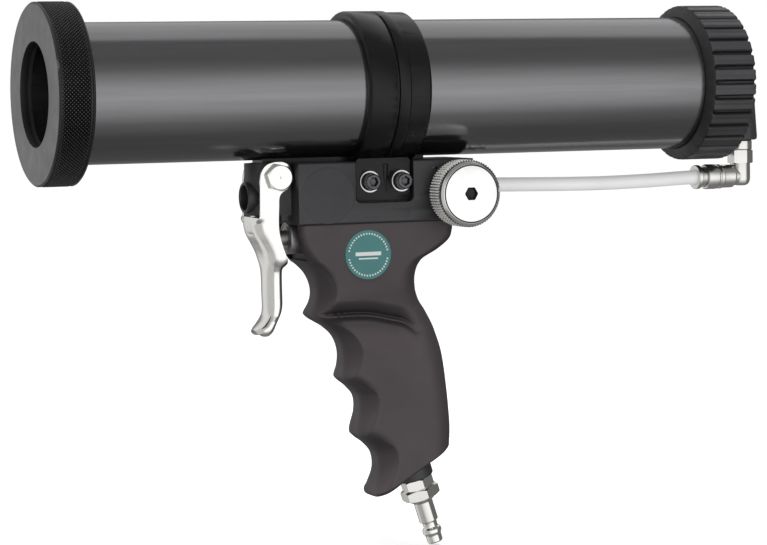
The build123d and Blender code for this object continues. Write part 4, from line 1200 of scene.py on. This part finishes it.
def make_side_details(side, label):
    # round cover let into the side in front of the clamp's pocket
    lathe(f"cover_{label}", [(-1, 0), (-1, COVER_RADIUS), (0.0, COVER_RADIUS), (0.08, COVER_RADIUS - 0.1),
                             (0.08, 0)],
          (COVER_PLACE[0], side * SIDE_FACE, COVER_PLACE[1]), (0, side, 0), "gun", "frame_anodised",
          segments=128, closed=False, soft=0.05)
    # raised pad under the pocket
    verts, faces = [], []
    for inset, out in PAD_RINGS:
        for k, (x, z) in enumerate(PAD):
            dx = inset if k in (0, 3) else -inset
            dz = inset if k in (0, 1) else -inset
            verts.append((x + dx, side * (SIDE_FACE + out), z + dz))
    for start in (0, 4):
        faces += bridge(list(range(start, start + 4)), list(range(start + 4, start + 8)))
    faces += [(0, 1, 2, 3), (8, 9, 10, 11)]
    add_piece(f"pad_{label}", verts, faces, "gun", "frame_anodised")
    # rib of the clamp between its two screws
    verts = [(x, side * y, z) for x, y, z in RIB_FOOT + RIB_CREST]
    faces = bridge([0, 1, 2, 3], [4, 5, 6, 7]) + [(0, 1, 2, 3), (4, 5, 6, 7)]
    rib = add_piece(f"clamp_rib_{label}", verts, faces, "gun", "clamp_enamel")
    add_bevel(rib, 0.4, 3)


def make_saddle(name, start_x, end_x):
    """A foot on the block's top that carries the tube."""
    radius = TUBE_RADIUS + SADDLE_GAP
    verts = []
    for x in (start_x, end_x):
        arc = []
        for k in range(SADDLE_STEPS + 1):
            angle = math.radians(SADDLE_ANGLE * (2 * k / SADDLE_STEPS - 1) - 90)
            arc.append((x, radius * math.cos(angle), radius * math.sin(angle)))
        verts += arc
        verts += [(x, y, SADDLE_FOOT) for _, y, _ in reversed(arc)]
    count = len(verts) // 2
    faces = bridge(list(range(count)), list(range(count, 2 * count)))
    for start in (0, count):
        for k in range(SADDLE_STEPS):
            faces.append((start + k, start + k + 1, start + count - 2 - k, start + count - 1 - k))
    add_piece(name, verts, faces, "gun", "clamp_enamel")


def make_block_details():
    make_side_details(-1, "near")
    make_side_details(1, "far")
    for name, (start_x, end_x) in SADDLES.items():
        make_saddle(name, start_x, end_x)
    # small light pin behind the clamp
    lathe("block_pin", [(-1, 0), (-1, 0.9), (0.1, 0.9), (0.25, 0.7), (0.25, 0)], PIN_PLACE, NEARER, "gun",
          "screw_steel", closed=False, segments=32, soft=0.1)


# ---------------------------------------------------------------- sticker
# Dots round the rim, with none near its two sides, and two bars: x, z, half length and half height
STICKER_DOTS = 44
STICKER_BARS = [(0, 0.35, 5.6, 0.75), (0, -1.55, 4.2, 0.28)]


def make_sticker():
    low, high = box_mm("sticker")
    centre = (low + high) / 2
    radius = (high.x - low.x) / 2
    top = high.y - low.y
    disc = lathe("sticker_disc", [(0, 0), (0, radius), (top - 0.06, radius), (top - 0.03, radius - 0.12),
                                  (top - 0.03, 0)],
                 (centre.x, high.y, centre.z), NEARER, "gun", "sticker_teal", ["sticker"],
                 segments=128, closed=False, soft=0.03)
    verts, faces = [], []

    def bar(cx, cz, half_long, half_tall, turn):
        """A thin white print mark on the disc."""
        start = len(verts)
        for u, v in ((-1, -1), (1, -1), (1, 1), (-1, 1)):
            along, up = u * half_long, v * half_tall
            verts.append((centre.x + cx + along * math.cos(turn) - up * math.sin(turn), low.y + 0.005,
                          centre.z + cz + along * math.sin(turn) + up * math.cos(turn)))
        for k in range(4):
            verts.append((verts[start + k][0], low.y + 0.1, verts[start + k][2]))
        faces.append((start, start + 1, start + 2, start + 3))
        faces.append((start + 7, start + 6, start + 5, start + 4))
        for k in range(4):
            after = (k + 1) % 4
            faces.append((start + k, start + 4 + k, start + 4 + after, start + after))

    rim = radius - 1.5
    for k in range(STICKER_DOTS):
        angle = 2 * math.pi * (k + 0.5) / STICKER_DOTS
        if abs(math.sin(angle)) < 0.2:
            continue
        bar(math.cos(angle) * rim, math.sin(angle) * rim, 0.3, 0.34, angle + math.pi / 2)
    for across, up, half_long, half_tall in STICKER_BARS:
        bar(across, up, half_long, half_tall, 0)
    marks = add_piece("sticker_print", verts, faces, "gun", "sticker_teal", material="sticker_white")
    marks.parent = disc
    marks.matrix_parent_inverse = Matrix.Identity(4)


# ---------------------------------------------------------------- main
MATERIALS = {}
for slot, (color, metallic, rough, options) in FINISHES.items():
    MATERIALS[slot] = surface(slot, color, metallic, rough, **options)
# the nodes that no piece stands for keep their CAD shape
for part in frame["record"]["subparts"]:
    node = frame["nodes"][part["node"]]
    node.data.materials.clear()
    node.data.materials.append(MATERIALS[part["material_slot"]])

make_camera()
make_world()
make_floor()
make_light("top_fill", (0.1, -0.4, 1.4), (0.15, 0, -0.05), (1.2, 0.8), 17)
bpy.context.scene.view_settings.view_transform = "Standard"

make_barrel()
make_front_ring()
make_rear_cap()
make_knob()
make_trigger_bolt()
make_clamp_screws()
make_nose_parts()
make_valve_front()
make_inlet()
make_fittings()
make_trigger()
make_grip()
make_block_details()
make_spring()
make_sticker()
softened("clamp", "barrel_clamp", "gun", "clamp_enamel", 0.35)
softened("block", "frame_block", "gun", "frame_anodised", 0.4)
